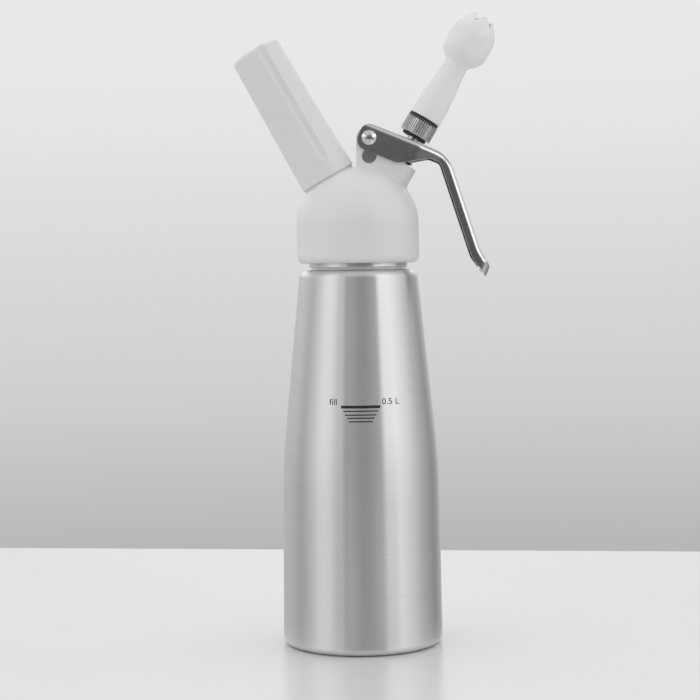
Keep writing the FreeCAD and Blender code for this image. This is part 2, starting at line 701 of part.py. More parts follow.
def build_bracket_side():
    """Side view of the bracket and valve boss, as wide as both."""
    body = new_body("bracket_side")
    sketch = new_sketch(body, "bracket_side_profile", "XZ_Plane")
    left = dims.pivot_across - dims.bracket_left
    top_radius = dims.web_rise - dims.sheet - dims.bracket_clearance
    top = pivot_height + top_radius
    # The top falls a little more steeply than the web of the pressed lever.
    fall = dims.lever_slope + dims.press_angle + dims.bracket_slope_margin
    lean = dims.valve_tilt - fall
    step = -dims.bracket_step
    brow = pivot_along_arm + (top_radius + (lever_arm + step) * sine(lean)) / cosine(lean)
    half_fall = fall / 2
    root = head_top - dims.head_radius / 2
    draw_outline(sketch, [
        (left, root),
        (left, top, top_radius - shade),
        (dims.pivot_across + top_radius * tangent(half_fall), top, top_radius),
        on_arm(brow, step),
        on_arm(dims.boss_top, step),
        on_arm(dims.boss_top, dims.boss_radius + room),
        on_arm(dims.boss_top - dims.boss_root, dims.boss_radius + room),
    ])
    padded(body, sketch, "bracket_side_pad", dims.boss_radius * 2 + room, both_sides=True)
    return body


def build_bracket_plan():
    """The same seen along the valve arm: straight sides that end round the valve's axis."""
    body = new_body("bracket_plan")
    sketch = new_sketch(body, "bracket_plan_profile", "XY_Plane")
    reach = -(lever_arm + dims.bracket_left + room)
    draw_outline(sketch, [
        (reach, -dims.boss_radius),
        (dims.boss_radius, -dims.boss_radius, dims.boss_radius - shade),
        (dims.boss_radius, dims.boss_radius, dims.boss_radius - shade),
        (reach, dims.boss_radius),
    ])
    padded(body, sketch, "bracket_plan_pad", dims.boss_top + room * 2)
    return on_valve_arm(body)


def build_head_solid():
    """Dome, charger boss, bracket and valve boss in one, with the valve arm filleted into the dome."""
    arm = doc.addObject("Part::Common", "valve_arm")
    arm.Base = build_bracket_side()
    arm.Tool = build_bracket_plan()
    boss_foot = dims.charger_seat - dims.charger_boss_root
    boss = on_charger_arm(rod("charger_boss", dims.charger_boss_radius, boss_foot, dims.charger_seat))
    whole = fused("head_forms", [build_head_dome(), boss, arm])
    doc.recompute()
    body = new_body("head_filleted")
    body.BaseFeature = whole
    side = dims.boss_radius.value
    low = head_top.value - dims.head_radius.value
    high = head_top.value + 1

    def at_arm_root(edge):
        ends = [edge.valueAt(edge.FirstParameter), edge.valueAt(edge.LastParameter)]
        middle = edge.valueAt((edge.FirstParameter + edge.LastParameter) / 2)
        beside = all(abs(abs(point.y) - side) < 0.03 for point in ends + [middle])
        return beside and all(low < point.z < high for point in ends + [middle])

    filleted(body, "arm_root_fillet", dims.arm_fillet, at_arm_root)
    return body


def inlet_passage():
    """What the inlet fills, from the gas chamber to the seat, and what the facing cuts off the dome."""
    pocket_start = dims.inlet_pocket_depth - room
    facing = dims.charger_boss_radius + dims.facing_width
    return on_charger_arm(turned("inlet_passage", [
        (0, pocket_start),
        (dims.inlet_pocket_radius, pocket_start),
        (dims.inlet_pocket_radius, dims.inlet_pocket_depth),
        (dims.inlet_tail_radius, dims.inlet_pocket_depth),
        (dims.inlet_tail_radius, inlet_flange_bottom),
        (dims.inlet_flange_radius, inlet_flange_bottom),
        (dims.inlet_flange_radius, dims.charger_seat),
        (dims.charger_boss_radius, dims.charger_seat),
        (dims.charger_boss_radius, dims.charger_seat - dims.charger_rim),
        (facing, dims.charger_seat - dims.charger_rim),
        (facing, dims.charger_seat + room),
        (0, dims.charger_seat + room),
    ]))


def valve_passage():
    """What the bush, nut and spring fill, from the gas chamber to the boss's top."""
    pocket_start = dims.bush_flange_bottom - room
    pocket_radius = dims.bush_flange_radius + dims.bush_pocket_gap
    return on_valve_arm(turned("valve_passage", [
        (0, pocket_start),
        (pocket_radius, pocket_start),
        (pocket_radius, bush_pocket_floor),
        (dims.bush_radius, bush_pocket_floor),
        (dims.bush_radius, dims.spring_bore_floor),
        (dims.spring_bore_radius, dims.spring_bore_floor),
        (dims.spring_bore_radius, dims.boss_top + room),
        (0, dims.boss_top + room),
    ]))


def build_head_shell():
    """The moulded head with its passages and its two cross bores."""
    reach = dims.boss_radius + room
    pivot_bore = across_bracket(rod("pivot_bore", dims.pivot_pin_radius, -reach, reach))
    stop_bore = across_bracket(rod("stop_bore", dims.stop_pin_radius, -reach, reach), dims.stop_pin_drop)
    tools = [inlet_passage(), valve_passage(), pivot_bore, stop_bore]
    return cut("head_shell", build_head_solid(), tools)


def build_thread_ring():
    """Aluminium ring moulded into the skirt."""
    return ring("head_thread_ring", thread_ring_bore, thread_ring_bore + dims.thread_ring_wall,
                thread_ring_bottom, dims.thread_ring_length)


def build_head_gasket():
    return ring("head_gasket", dims.gasket_inner_radius, dims.neck_radius, gasket_bottom,
                dims.gasket_thickness)


# ---------------------------------------------------------------- charger arm

def build_charger_inlet():
    """Flanged stud that takes the holder outside and the charger's neck inside."""
    thread_end = dims.inlet_pocket_depth - dims.inlet_nut_height
    tip_bottom = thread_end - dims.inlet_tip_length
    return on_charger_arm(turned("charger_inlet", [
        (dims.gas_channel_radius, tip_bottom),
        (dims.inlet_tip_radius, tip_bottom, dims.edge_round),
        (dims.inlet_tip_radius, thread_end),
        (dims.inlet_tail_radius, thread_end),
        (dims.inlet_tail_radius, inlet_flange_bottom),
        (dims.inlet_flange_radius, inlet_flange_bottom),
        (dims.inlet_flange_radius, dims.charger_seat),
        (dims.inlet_thread_radius, dims.charger_seat),
        (dims.inlet_thread_radius, inlet_stud_top, dims.edge_round * 2),
        (dims.charger_neck_radius, inlet_stud_top, dims.edge_round),
        (dims.charger_neck_radius, charger_neck_floor),
        (dims.gas_channel_radius, charger_neck_floor),
    ]))


def hexagon(flats):
    """Corners of a hexagon, flats apart."""
    reach = flats / (cosine(as_size(30)) * 2)
    corners = []
    for step in range(6):
        angle = as_size(60 * step)
        corners.append((reach * cosine(angle), reach * sine(angle)))
    return corners


def hexagon_nut(label, flats, bore, bottom, height):
    """A hexagon nut with a plain bore."""
    body = new_body(label)
    sketch = new_sketch(body, label + "_flats", "XY_Plane")
    draw_outline(sketch, hexagon(flats))
    draw_circle(sketch, 0, 0, bore)
    sketch.AttachmentOffset = FreeCAD.Placement(
        FreeCAD.Vector(0, 0, bottom.value), FreeCAD.Rotation())
    bind(sketch, "AttachmentOffset.Base.z", bottom)
    padded(body, sketch, label + "_pad", height)
    return body


def build_inlet_nut():
    bottom = dims.inlet_pocket_depth - dims.inlet_nut_height
    return on_charger_arm(hexagon_nut("inlet_lock_nut", dims.inlet_nut_flats, dims.inlet_tail_radius,
                                      bottom, dims.inlet_nut_height))


def build_check_sleeve():
    """Rubber sleeve that lets gas out of the inlet's end and shuts against the bottle's pressure."""
    length = dims.inlet_tip_length - dims.check_sleeve_setback
    bottom = dims.inlet_pocket_depth - dims.inlet_nut_height - length
    outside = dims.inlet_tip_radius + dims.check_sleeve_wall
    return on_charger_arm(ring("inlet_check_sleeve", dims.inlet_tip_radius, outside, bottom, length,
                               dims.edge_round))


def build_inlet_gasket():
    return on_charger_arm(ring("inlet_gasket", dims.gas_channel_radius, dims.charger_neck_radius,
                               charger_neck_floor, dims.inlet_gasket_thickness, dims.edge_round))


def build_piercing_pin():
    """Hollow steel pin, pressed into the inlet's channel."""
    bottom = charger_neck_floor - dims.pin_root
    top = charger_neck_floor + dims.pin_rise
    return on_charger_arm(turned("piercing_pin", [
        (dims.pin_bore_radius, bottom),
        (dims.gas_channel_radius, bottom),
        (dims.gas_channel_radius, top - dims.pin_point_length),
        (dims.pin_bore_radius + dims.pin_edge, top),
        (dims.pin_bore_radius, top),
    ]))


def build_holder():
    """Screw-on charger holder: a tapered closed tube with rounded grip flutes."""
    body = new_body("charger_holder")
    sketch = new_sketch(body, "holder_profile", "XZ_Plane")
    thread_bore = dims.inlet_thread_radius + dims.holder_thread_clearance
    thread_top = inlet_stud_top + dims.stud_end_gap
    draw_outline(sketch, [
        (thread_bore, holder_bottom, dims.edge_round),
        (dims.holder_base_radius, holder_bottom, dims.holder_mouth_round),
        (dims.holder_top_radius, holder_top, dims.holder_end_round),
        (0, holder_top),
        (0, holder_top - dims.holder_end_wall),
        (dims.holder_bore_radius, holder_top - dims.holder_end_wall, dims.holder_end_round),
        (dims.holder_bore_radius, thread_top),
        (thread_bore, thread_top),
    ])
    revolve(body, sketch, "holder_turned")
    taper = (dims.holder_base_radius - dims.holder_top_radius) / dims.holder_length
    offset = dims.flute_cutter_radius - dims.flute_depth
    cutter = dims.flute_cutter_radius
    low = holder_bottom + dims.flute_start
    high = holder_top + room
    low_axis = dims.holder_base_radius - taper * dims.flute_start + offset
    high_axis = dims.holder_top_radius - taper * room + offset
    flute = new_sketch(body, "flute_profile", "XZ_Plane", dims.flute_turn - 90)
    lines = draw_outline(flute, [
        (low_axis, low),
        (high_axis, high),
        (high_axis - cutter, high),
        (low_axis - cutter, low, cutter - shade),
    ])
    axis = flute.addGeometry(
        Part.LineSegment(FreeCAD.Vector(low_axis.value, low.value, 0),
                         FreeCAD.Vector(high_axis.value, high.value, 0)), True)
    flute.addConstraint(Sketcher.Constraint("Coincident", axis, 1, lines[0], 1))
    flute.addConstraint(Sketcher.Constraint("Coincident", axis, 2, lines[0], 2))
    doc.recompute()
    groove = body.newObject("PartDesign::Groove", "flute")
    groove.Profile = flute
    groove.ReferenceAxis = (flute, ["Axis0"])
    groove.Angle = 360
    body.Tip = groove
    polar(body, groove, "flutes", dims.flute_count)
    return on_charger_arm(body)


# ---------------------------------------------------------------- valve

def build_valve_bush():
    """Brass bush that guides the stem; its inner face is the valve seat."""
    seat = dims.bush_flange_bottom
    return on_valve_arm(turned("valve_bush", [
        (bush_bore, seat - dims.seat_lip),
        (bush_bore + dims.seat_land, seat - dims.seat_lip),
        (bush_bore + dims.seat_land * 1.5, seat),
        (dims.bush_flange_radius, seat, dims.edge_round),
        (dims.bush_flange_radius, bush_flange_top),
        (dims.bush_radius, bush_flange_top),
        (dims.bush_radius, spring_floor, dims.edge_round),
        (bush_bore, spring_floor, dims.edge_round),
    ]))


def build_bush_seal():
    return on_valve_arm(ring("bush_seal", dims.bush_radius, dims.bush_flange_radius, bush_flange_top,
                             dims.bush_seal_thickness))


def build_bush_nut():
    return on_valve_arm(ring("bush_nut", dims.bush_radius, dims.bush_nut_radius,
                             dims.spring_bore_floor, dims.bush_nut_height, dims.edge_round))


def gasket_top():
    return dims.bush_flange_bottom - dims.seat_lip - dims.valve_gap


def build_valve_stem():
    """Hollow stem: a threaded tail, a sliding part with an O-ring groove, a shoulder and a neck."""
    gasket_under = gasket_top() - dims.valve_gasket_thickness
    tail_bottom = gasket_under - dims.valve_plate_thickness - dims.tail_nut_height - dims.tail_proud
    bore_floor = gasket_top() + dims.stem_bore_floor
    port_height = bore_floor + dims.stem_port_rise + dims.stem_port_radius
    groove_half = dims.stem_seal_section + dims.fit_clearance
    groove_radius = bush_bore - dims.stem_seal_section * 2 - shade
    body = new_body("valve_stem")
    sketch = new_sketch(body, "stem_profile", "XZ_Plane")
    draw_outline(sketch, [
        (0, tail_bottom),
        (dims.tail_radius, tail_bottom, dims.edge_round),
        (dims.tail_radius, gasket_top()),
        (dims.stem_radius, gasket_top()),
        (dims.stem_radius, dims.stem_seal_height - groove_half),
        (groove_radius, dims.stem_seal_height - groove_half),
        (groove_radius, dims.stem_seal_height + groove_half),
        (dims.stem_radius, dims.stem_seal_height + groove_half),
        (dims.stem_radius, cap_bottom),
        (dims.stem_neck_radius, cap_bottom),
        (dims.stem_neck_radius, stem_top, dims.edge_round),
        (dims.stem_bore_radius, stem_top),
        (dims.stem_bore_radius, bore_floor),
        (0, bore_floor),
    ])
    revolve(body, sketch, "stem_turned")
    ports = new_sketch(body, "stem_ports", "YZ_Plane")
    draw_circle(ports, 0, port_height, dims.stem_port_radius)
    pocketed(body, ports, "stem_port_holes")
    return on_valve_arm(body)


def build_valve_gasket():
    bottom = gasket_top() - dims.valve_gasket_thickness
    return on_valve_arm(ring("valve_gasket", dims.tail_radius, dims.valve_gasket_radius, bottom,
                             dims.valve_gasket_thickness, dims.edge_round))


def build_valve_plate():
    bottom = gasket_top() - dims.valve_gasket_thickness - dims.valve_plate_thickness
    return on_valve_arm(ring("valve_plate", dims.tail_radius, dims.valve_plate_radius, bottom,
                             dims.valve_plate_thickness, dims.edge_round))


def build_tail_nut():
    bottom = gasket_top() - dims.valve_gasket_thickness - dims.valve_plate_thickness
    bottom = bottom - dims.tail_nut_height
    return on_valve_arm(hexagon_nut("stem_tail_nut", dims.tail_nut_flats, dims.tail_radius, bottom,
                                    dims.tail_nut_height))


def build_stem_seal():
    """O-ring in the stem's groove."""
    body = new_body("stem_o_ring")
    sketch = new_sketch(body, "stem_o_ring_section", "XZ_Plane")
    middle = bush_bore - dims.stem_seal_section - shade / 2
    draw_circle(sketch, middle, dims.stem_seal_height, dims.stem_seal_section)
    revolve(body, sketch, "stem_o_ring_turned")
    return on_valve_arm(body)


def build_spring_cap():
    """Crowned cap on the stem's shoulder; the spring pushes up on it and the lever down on it."""
    rim_top = cap_top - dims.cap_crown
    skirt = cap_bottom - dims.cap_skirt
    skirt_inside = dims.stem_radius + dims.cap_skirt_gap
    skirt_outside = dims.spring_radius - dims.wire_diameter / 2 - dims.fit_clearance * 2
    return on_valve_arm(turned("spring_cap", [
        (dims.stem_neck_radius, cap_bottom),
        (skirt_inside, cap_bottom),
        (skirt_inside, skirt),
        (skirt_outside, skirt),
        (skirt_outside, cap_bottom),
        (dims.cap_radius, cap_bottom, dims.edge_round),
        (dims.cap_radius, rim_top, dims.edge_round),
        (dims.stem_neck_radius, cap_top - dims.cap_crown * dims.stem_neck_radius / dims.cap_radius),
    ]))


def build_spring():
    """Return spring between the bush's nut and the cap."""
    low = spring_floor + dims.wire_diameter / 2 + dims.fit_clearance
    rise = cap_bottom - spring_floor - dims.wire_diameter - dims.fit_clearance * 2
    coil = doc.addObject("Part::Helix", "spring_path")
    bind(coil, "Radius", dims.spring_radius)
    bind(coil, "Pitch", rise / dims.spring_turns)
    bind(coil, "Height", rise)
    wire = doc.addObject("Part::Circle", "spring_wire")
    bind(wire, "Radius", dims.wire_diameter / 2)
    wire.Placement = FreeCAD.Placement(
        FreeCAD.Vector(dims.spring_radius.value, 0, 0), FreeCAD.Rotation(FreeCAD.Vector(1, 0, 0), 90))
    bind(wire, "Placement.Base.x", dims.spring_radius)
    doc.recompute()
    spring = doc.addObject("Part::Sweep", "return_spring")
    spring.Sections = [wire]
    spring.Spine = (coil, ["Edge%d" % number for number in range(1, len(coil.Shape.Edges) + 1)])
    spring.Solid = True
    spring.Frenet = True
    spring.Label = "return_spring"
    base_across, base_up = on_arm(low, as_size(0))
    spring.Placement = FreeCAD.Placement(
        FreeCAD.Vector(base_across.value, 0, base_up.value),
        FreeCAD.Rotation(FreeCAD.Vector(0, 1, 0), dims.valve_tilt.value))
    bind(spring, "Placement.Base.x", base_across)
    bind(spring, "Placement.Base.z", base_up)
    bind(spring, "Placement.Rotation.Angle", dims.valve_tilt)
    return spring


def build_lever_washer():
    return on_valve_arm(ring("adapter_washer", dims.stem_neck_radius, dims.washer_radius,
                             dims.adapter_bottom - dims.washer_thickness, dims.washer_thickness,
                             dims.edge_round))


def build_adapter():
    """Knurled ring and nozzle stud, screwed on the stem."""
    through = dims.stem_bore_radius
    edge = dims.adapter_chamfer
    return on_valve_arm(turned("nozzle_adapter", [
        (dims.stem_neck_radius, dims.adapter_bottom),
        (dims.adapter_radius - edge, dims.adapter_bottom),
        (dims.adapter_radius, dims.adapter_bottom + edge),
        (dims.adapter_radius, adapter_top - edge),
        (dims.adapter_radius - edge, adapter_top),
        (dims.stud_radius, adapter_top),
        (dims.stud_radius, stud_top, dims.edge_round * 2),
        (through, stud_top, dims.edge_round),
        (through, stem_top),
        (dims.stem_neck_radius, stem_top),
    ]))


def build_nozzle_seal():
    return on_valve_arm(ring("nozzle_seal_ring", dims.stud_radius, dims.nozzle_seal_radius,
                             adapter_top, dims.nozzle_seal_thickness, dims.edge_round))


def build_nozzle():
    """Tulip nozzle: socket, tapering neck, bulb, and a mouth cut into pointed teeth."""
    body = new_body("tulip_nozzle")
    sketch = new_sketch(body, "nozzle_profile", "XZ_Plane")
    base = nozzle_bottom
    wall = dims.nozzle_wall
    socket = dims.stud_radius + dims.nozzle_socket_clearance
    socket_top = stud_top + dims.stud_end_gap
    neck_inside = dims.nozzle_neck_radius - wall
    # The inner line's corners are moved along the nozzle to keep the wall nearly even.
    shift = wall * 0.4
    draw_outline(sketch, [
        (socket, base, dims.edge_round),
        (dims.nozzle_base_radius, base, dims.edge_round),
        (dims.nozzle_base_radius, base + dims.nozzle_socket_height, dims.nozzle_taper_round),
        (dims.nozzle_neck_radius, base + dims.nozzle_neck_height, dims.nozzle_neck_round),
        (dims.bulb_radius, base + dims.bulb_low_height, dims.bulb_low_round),
        (dims.bulb_radius, base + dims.bulb_high_height, dims.bulb_high_round),
        (dims.mouth_radius, base + dims.nozzle_length, dims.tooth_round),
        (dims.mouth_radius - dims.tooth_thickness, base + dims.nozzle_length, dims.tooth_round),
        (dims.bulb_radius - wall, base + dims.bulb_high_height - shift, dims.bulb_high_round - wall),
        (dims.bulb_radius - wall, base + dims.bulb_low_height + shift, dims.bulb_low_round - wall),
        (neck_inside, base + dims.nozzle_neck_height + shift, dims.nozzle_neck_round),
        (socket - wall, socket_top),
        (socket, socket_top),
    ])
    revolve(body, sketch, "nozzle_turned")
    notch = new_sketch(body, "notch_profile", "XZ_Plane", dims.notch_turn * -1)
    tip = base + dims.nozzle_length
    # Drawn twice as large as the notch, from its root to past the tips.
    draw_outline(notch, [
        (0, tip - dims.notch_depth),
        (dims.notch_width, tip + dims.notch_depth),
        (-dims.notch_width, tip + dims.notch_depth),
    ])
    doc.recompute()
    whole = body.Shape.Volume
    pocket = body.newObject("PartDesign::Pocket", "notch")
    pocket.Profile = notch
    bind(pocket, "Length", dims.bulb_radius + room)
    pocket.Reversed = True
    body.Tip = pocket
    doc.recompute()
    if body.Shape.Volume > whole - 1:
        raise RuntimeError("the notch cuts nothing")
    polar(body, pocket, "notches", dims.tooth_count)
    return on_valve_arm(body)


# ---------------------------------------------------------------- lever

def lever_path():
    """Corners of the lever's outer line, from the bend to just past the tip, in (along, above) the web.

    Each entry is (along, above, rounding, (along, above) of the unit step inwards): moving a corner by
    its step times a distance gives the same line that distance further in.
    """
    bend, flare = dims.bend_angle, dims.bend_angle - dims.flare_angle
    bend_along = dims.web_length
    flare_along = bend_along + dims.handle_length * cosine(bend)
    flare_above = dims.web_rise - dims.handle_length * sine(bend)
    end_along = flare_along + dims.flare_length * cosine(flare) + tip_allowance
    end_above = flare_above - (end_along - flare_along) * tangent(flare)
    half_bend, middle, half_flare = bend / 2, (bend + flare) / 2, dims.flare_angle / 2
    bend_step = (-(sine(half_bend) / cosine(half_bend)), as_size(-1))
    flare_step = (-(sine(middle) / cosine(half_flare)), -(cosine(middle) / cosine(half_flare)))
    end_step = (-sine(flare), -cosine(flare))
    return {
        "bend": (bend_along, dims.web_rise, dims.bend_round, bend_step),
        "flare": (flare_along, flare_above, dims.flare_round, flare_step),
        "end": (end_along, end_above, as_size(0), end_step),
    }


def moved(corner, inset, rounding):
    """A corner of the outer line moved in by inset."""
    along, above, _, step = corner
    return (along + step[0] * inset, above + step[1] * inset, rounding)


def trim_to_width(body, name, half_width, inset):
    """Cut a lever body to its plan: broad at the ears, narrow at the handle, round at the tip."""
    tip = lever_path()["end"][0] - tip_allowance - inset
    narrow = dims.handle_half_width - inset
    taper_end = dims.web_length - dims.taper_before_bend
    start = -(dims.ear_reach + room)
    far = half_width + room
    for side in (1, -1):
        sketch = new_sketch(body, "%s_plan_%s" % (name, "left" if side > 0 else "right"), "XY_Plane")
        draw_outline(sketch, [
            (start, half_width * side),
            (taper_end - dims.taper_run, half_width * side, dims.taper_round),
            (taper_end, narrow * side, dims.taper_round),
            (tip, narrow * side, dims.tip_corner - inset / 2),
            (tip, shade * -side),
            (tip + room, shade * -side),
            (tip + room, far * side),
            (start, far * side),
        ])
        pocketed(body, sketch, "%s_trim_%s" % (name, "left" if side > 0 else "right"))


def build_lever_blank():
    """The lever's outside, still solid."""
    body = new_body("lever_blank")
    sketch = new_sketch(body, "lever_side", "XZ_Plane")
    path = lever_path()
    bend, flare, end = path["bend"], path["flare"], path["end"]
    angle = dims.bend_angle
    inner_along = bend[0] - dims.handle_depth * sine(angle)
    inner_above = bend[1] - dims.handle_depth * cosine(angle)
    # Where the handle's inner edge meets the raised lower edge of the flanges.
    drop = inner_above - dims.flange_rise_level
    meet_along = inner_along + drop / tangent(angle)
    inner_length = dims.handle_length + dims.flare_lag
    draw_outline(sketch, [
        (dims.ear_top_start, dims.web_rise),
        bend[:3],
        flare[:3],
        end[:3],
        (end[0], end[1] - dims.tip_depth),
        (inner_along + inner_length * cosine(angle), inner_above - inner_length * sine(angle),
         dims.flare_round / 2),
        (meet_along, dims.flange_rise_level, dims.hump_round),
        (dims.web_length - dims.rise_before_bend, dims.flange_rise_level, dims.hump_round),
        (dims.flange_belly, -dims.ear_drop, dims.belly_round),
        (-dims.ear_reach, -dims.ear_drop, dims.ear_reach - shade),
        (-dims.ear_reach, dims.web_rise - dims.ear_top_fall, dims.ear_reach - shade),
    ])
    padded(body, sketch, "lever_side_pad", ear_outside * 2 + room, both_sides=True)
    trim_to_width(body, "lever", ear_outside, as_size(0))
    wide, top = ear_outside.value, dims.web_rise.value

    def along_web(edge):
        box = edge.BoundBox
        flat = abs(box.ZMax - top) < 1e-4 and abs(box.ZMin - top) < 1e-4
        return flat and box.XLength > 5 and abs(abs(edge.CenterOfMass.y) - wide) < 1e-3

    filleted(body, "lever_folds", dims.lever_edge_round, along_web)
    cut_slot(body)
    pivot = new_sketch(body, "lever_pivot_holes", "XZ_Plane")
    draw_circle(pivot, 0, 0, dims.pivot_pin_radius + dims.fit_clearance)
    pocketed(body, pivot, "lever_pivot_bores")
    return on_pivot(body)


def slot_centre(lean):
    """Where the stem's axis crosses the middle of the web, along the web from the pivot."""
    level = dims.web_rise - dims.sheet / 2
    rise = (level + lever_arm * sine(lean)) / cosine(lean)
    return lever_arm * cosine(lean) + rise * sine(lean)


def cut_slot(body):
    """Slot in the web for the stem, long enough for the whole travel."""
    radius = dims.stem_neck_radius + dims.slot_clearance
    near = slot_centre(web_lean - dims.press_angle) - radius
    far = slot_centre(web_lean) + radius
    sketch = new_sketch(body, "stem_slot", "XY_Plane")
    draw_outline(sketch, [
        (near, -radius, radius - shade),
        (far, -radius, radius - shade),
        (far, radius, radius - shade),
        (near, radius, radius - shade),
    ])
    pocketed(body, sketch, "stem_slot_cut")


def build_lever_hollow():
    """The space between the lever's flanges, open below and over the pivot, where the web ends."""
    body = new_body("lever_hollow")
    sketch = new_sketch(body, "hollow_side", "XZ_Plane")
    path = lever_path()
    inset = dims.sheet
    end = moved(path["end"], inset, 0)
    beyond = dims.ear_reach + room
    below = end[1] - dims.tip_depth - room
    draw_outline(sketch, [
        (-beyond, dims.web_rise + room),
        (dims.web_start, dims.web_rise + room),
        (dims.web_start, dims.web_rise - inset),
        moved(path["bend"], inset, dims.bend_round - inset),
        moved(path["flare"], inset, dims.flare_round + inset),
        end,
        (end[0], below),
        (-beyond, below),
    ])
    padded(body, sketch, "hollow_side_pad", ear_inside * 2 + room, both_sides=True)
    trim_to_width(body, "hollow", ear_inside, inset)
    return on_pivot(body)


def build_lever():
    """Stamped channel: broad ears on the pivot, a narrower handle and a closed round tip."""
    return cut("lever", build_lever_blank(), [build_lever_hollow()])


def dome_corner():
    """Where a pin head's slope meets its crown, and the rounding that makes one dome of the two."""
    across = dims.pin_head_radius / 2
    rise = dims.pin_head_height - dims.pin_head_edge
    slope = square_root(across * across + rise * rise)
    return across, across * (across + slope) / rise - shade


def build_lever_pin():
    """Pin through ears and bracket, with a domed head on the near side."""
    inner = ear_outside + dims.pin_head_gap
    across, dome = dome_corner()
    return across_bracket(turned("lever_pin", [
        (0, -inner),
        (dims.pivot_pin_radius, -inner),
        (dims.pivot_pin_radius, inner),
        (dims.pin_head_radius, inner),
        (dims.pin_head_radius, inner + dims.pin_head_edge),
        (across, inner + dims.pin_head_height, dome),
        (0, inner + dims.pin_head_height),
    ]))


def build_pin_cap():
    """Domed cap riveted on the pin's far end."""
    inner = ear_outside + dims.pin_head_gap
    across, dome = dome_corner()
    return across_bracket(turned("lever_pin_cap", [
        (0, -(inner + dims.pin_head_height)),
        (across, -(inner + dims.pin_head_height), dome),
        (dims.pin_head_radius, -(inner + dims.pin_head_edge)),
        (dims.pin_head_radius, -inner),
        (0, -inner),
    ]))


def build_stop_pin():
    """Plain cross pin in the bracket, below the lever's pivot."""
    half = dims.boss_radius + dims.stop_pin_proud
    return across_bracket(turned("bracket_cross_pin", [
        (0, -half),
        (dims.stop_pin_radius, -half, dims.edge_round),
        (dims.stop_pin_radius, half, dims.edge_round),
        (0, half),
    ]), dims.stop_pin_drop)


# ---------------------------------------------------------------- build, check and write

BUILDERS = [
    build_bottle,
    build_head_shell,
    build_thread_ring,
    build_head_gasket,
    build_charger_inlet,
    build_inlet_nut,
    build_check_sleeve,
    build_inlet_gasket,
    build_piercing_pin,
    build_holder,
    build_valve_bush,
    build_bush_seal,
    build_bush_nut,
    build_valve_stem,
    build_valve_gasket,
    build_valve_plate,
    build_tail_nut,
    build_stem_seal,
    build_spring_cap,
    build_spring,
    build_lever_washer,
    build_adapter,
    build_nozzle_seal,
    build_nozzle,
    build_lever,
    build_lever_pin,
    build_pin_cap,
    build_stop_pin,
]


def check(parts):
    """Stop if any object failed or any part isn't one closed, valid solid."""
    for thing in doc.Objects:
        if "Invalid" in thing.State or "Error" in thing.State:
            raise RuntimeError("%s failed: %s" % (thing.Name, thing.State))
    for part in parts:
        shape = part.Shape
        if shape.isNull() or not shape.isValid() or shape.Volume <= 0:
            raise RuntimeError("%s has no valid solid" % part.Label)
        if len(shape.Solids) != 1:
            raise RuntimeError("%s has %d solids" % (part.Label, len(shape.Solids)))


def main():
    parts = [build() for build in BUILDERS]
    doc.recompute()
    check(parts)
    os.makedirs("parts", exist_ok=True)
    for part in parts:
        part.Shape.exportStep("parts/%s.step" % part.Label)
        box = part.Shape.BoundBox
        print("%-20s %9.1f mm3  Z %6.1f to %6.1f" % (part.Label, part.Shape.Volume, box.ZMin, box.ZMax))


main()
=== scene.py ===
"""Dresses the frame of a whipped cream dispenser: a brushed metal bottle under a white moulded head with a
charger holder, a valve with its tulip nozzle, and a folded steel lever.

Each sub-assembly is a class that holds its own sizes, in millimetres, makes what the frame leaves out (threads,
knurls, spring coils and the fill mark) and gives every node its finish.
"""

import logging
import math
from collections.abc import Iterable, Sequence
from dataclasses import dataclass, field, replace
from enum import Enum

import bpy
from mathutils import Matrix, Vector
from mathutils.bvhtree import BVHTree


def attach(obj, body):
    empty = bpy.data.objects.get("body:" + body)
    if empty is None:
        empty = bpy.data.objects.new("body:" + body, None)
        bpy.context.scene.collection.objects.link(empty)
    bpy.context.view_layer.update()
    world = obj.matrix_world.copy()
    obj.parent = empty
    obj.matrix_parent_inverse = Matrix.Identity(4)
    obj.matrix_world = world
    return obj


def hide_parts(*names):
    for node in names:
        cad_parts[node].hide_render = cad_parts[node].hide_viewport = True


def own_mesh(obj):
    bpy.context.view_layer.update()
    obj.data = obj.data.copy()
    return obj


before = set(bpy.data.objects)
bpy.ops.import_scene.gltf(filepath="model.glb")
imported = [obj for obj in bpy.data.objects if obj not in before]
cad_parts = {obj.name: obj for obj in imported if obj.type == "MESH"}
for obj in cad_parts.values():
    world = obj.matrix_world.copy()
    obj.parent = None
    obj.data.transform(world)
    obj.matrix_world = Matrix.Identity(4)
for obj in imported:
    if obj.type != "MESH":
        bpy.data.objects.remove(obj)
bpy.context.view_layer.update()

LOG = logging.getLogger("cream_dispenser")
MM = 0.001
MICRON = 0.000001

Material = bpy.types.Material
Piece = bpy.types.Object
Pieces = list[Piece]
Socket = bpy.types.NodeSocket
Triple = tuple[float, float, float]
Span = tuple[float, float]
Stops = Iterable[Span]

UP: Triple = (0.0, 0.0, 1.0)
EVEN: Triple = (1.0, 1.0, 1.0)
BRASS: Triple = (0.74, 0.57, 0.29)
WHOLE: Span = (0.0, 1.0)
NOISE_SPAN: Span = (0.3, 0.7)  # where a noise field lies
EDGE_SAMPLES = 4


class Body(Enum):
    """The bodies that the new pieces ride on."""

    BOTTLE = "bottle"
    HEAD = "head"
    VALVE = "valve"


class Slot(Enum):
    """The record's material slots, named for the new pieces."""

    BOTTLE = "bottle"
    PLASTIC = "moulded_plastic"
    THREAD_RING = "thread_ring"
    BRASS = "brass"
    STAINLESS = "stainless"
    ADAPTER = "adapter_metal"


def linear(shade: float) -> float:
    """Turns a display grey, from 0 to 255, into the light that shows as it."""
    share = shade / 255.0
    return share / 12.92 if share <= 0.04045 else ((share + 0.055) / 1.055) ** 2.4


def grey(tone: float) -> Triple:
    """Gives a grey of a linear tone as a colour."""
    return (tone, tone, tone)


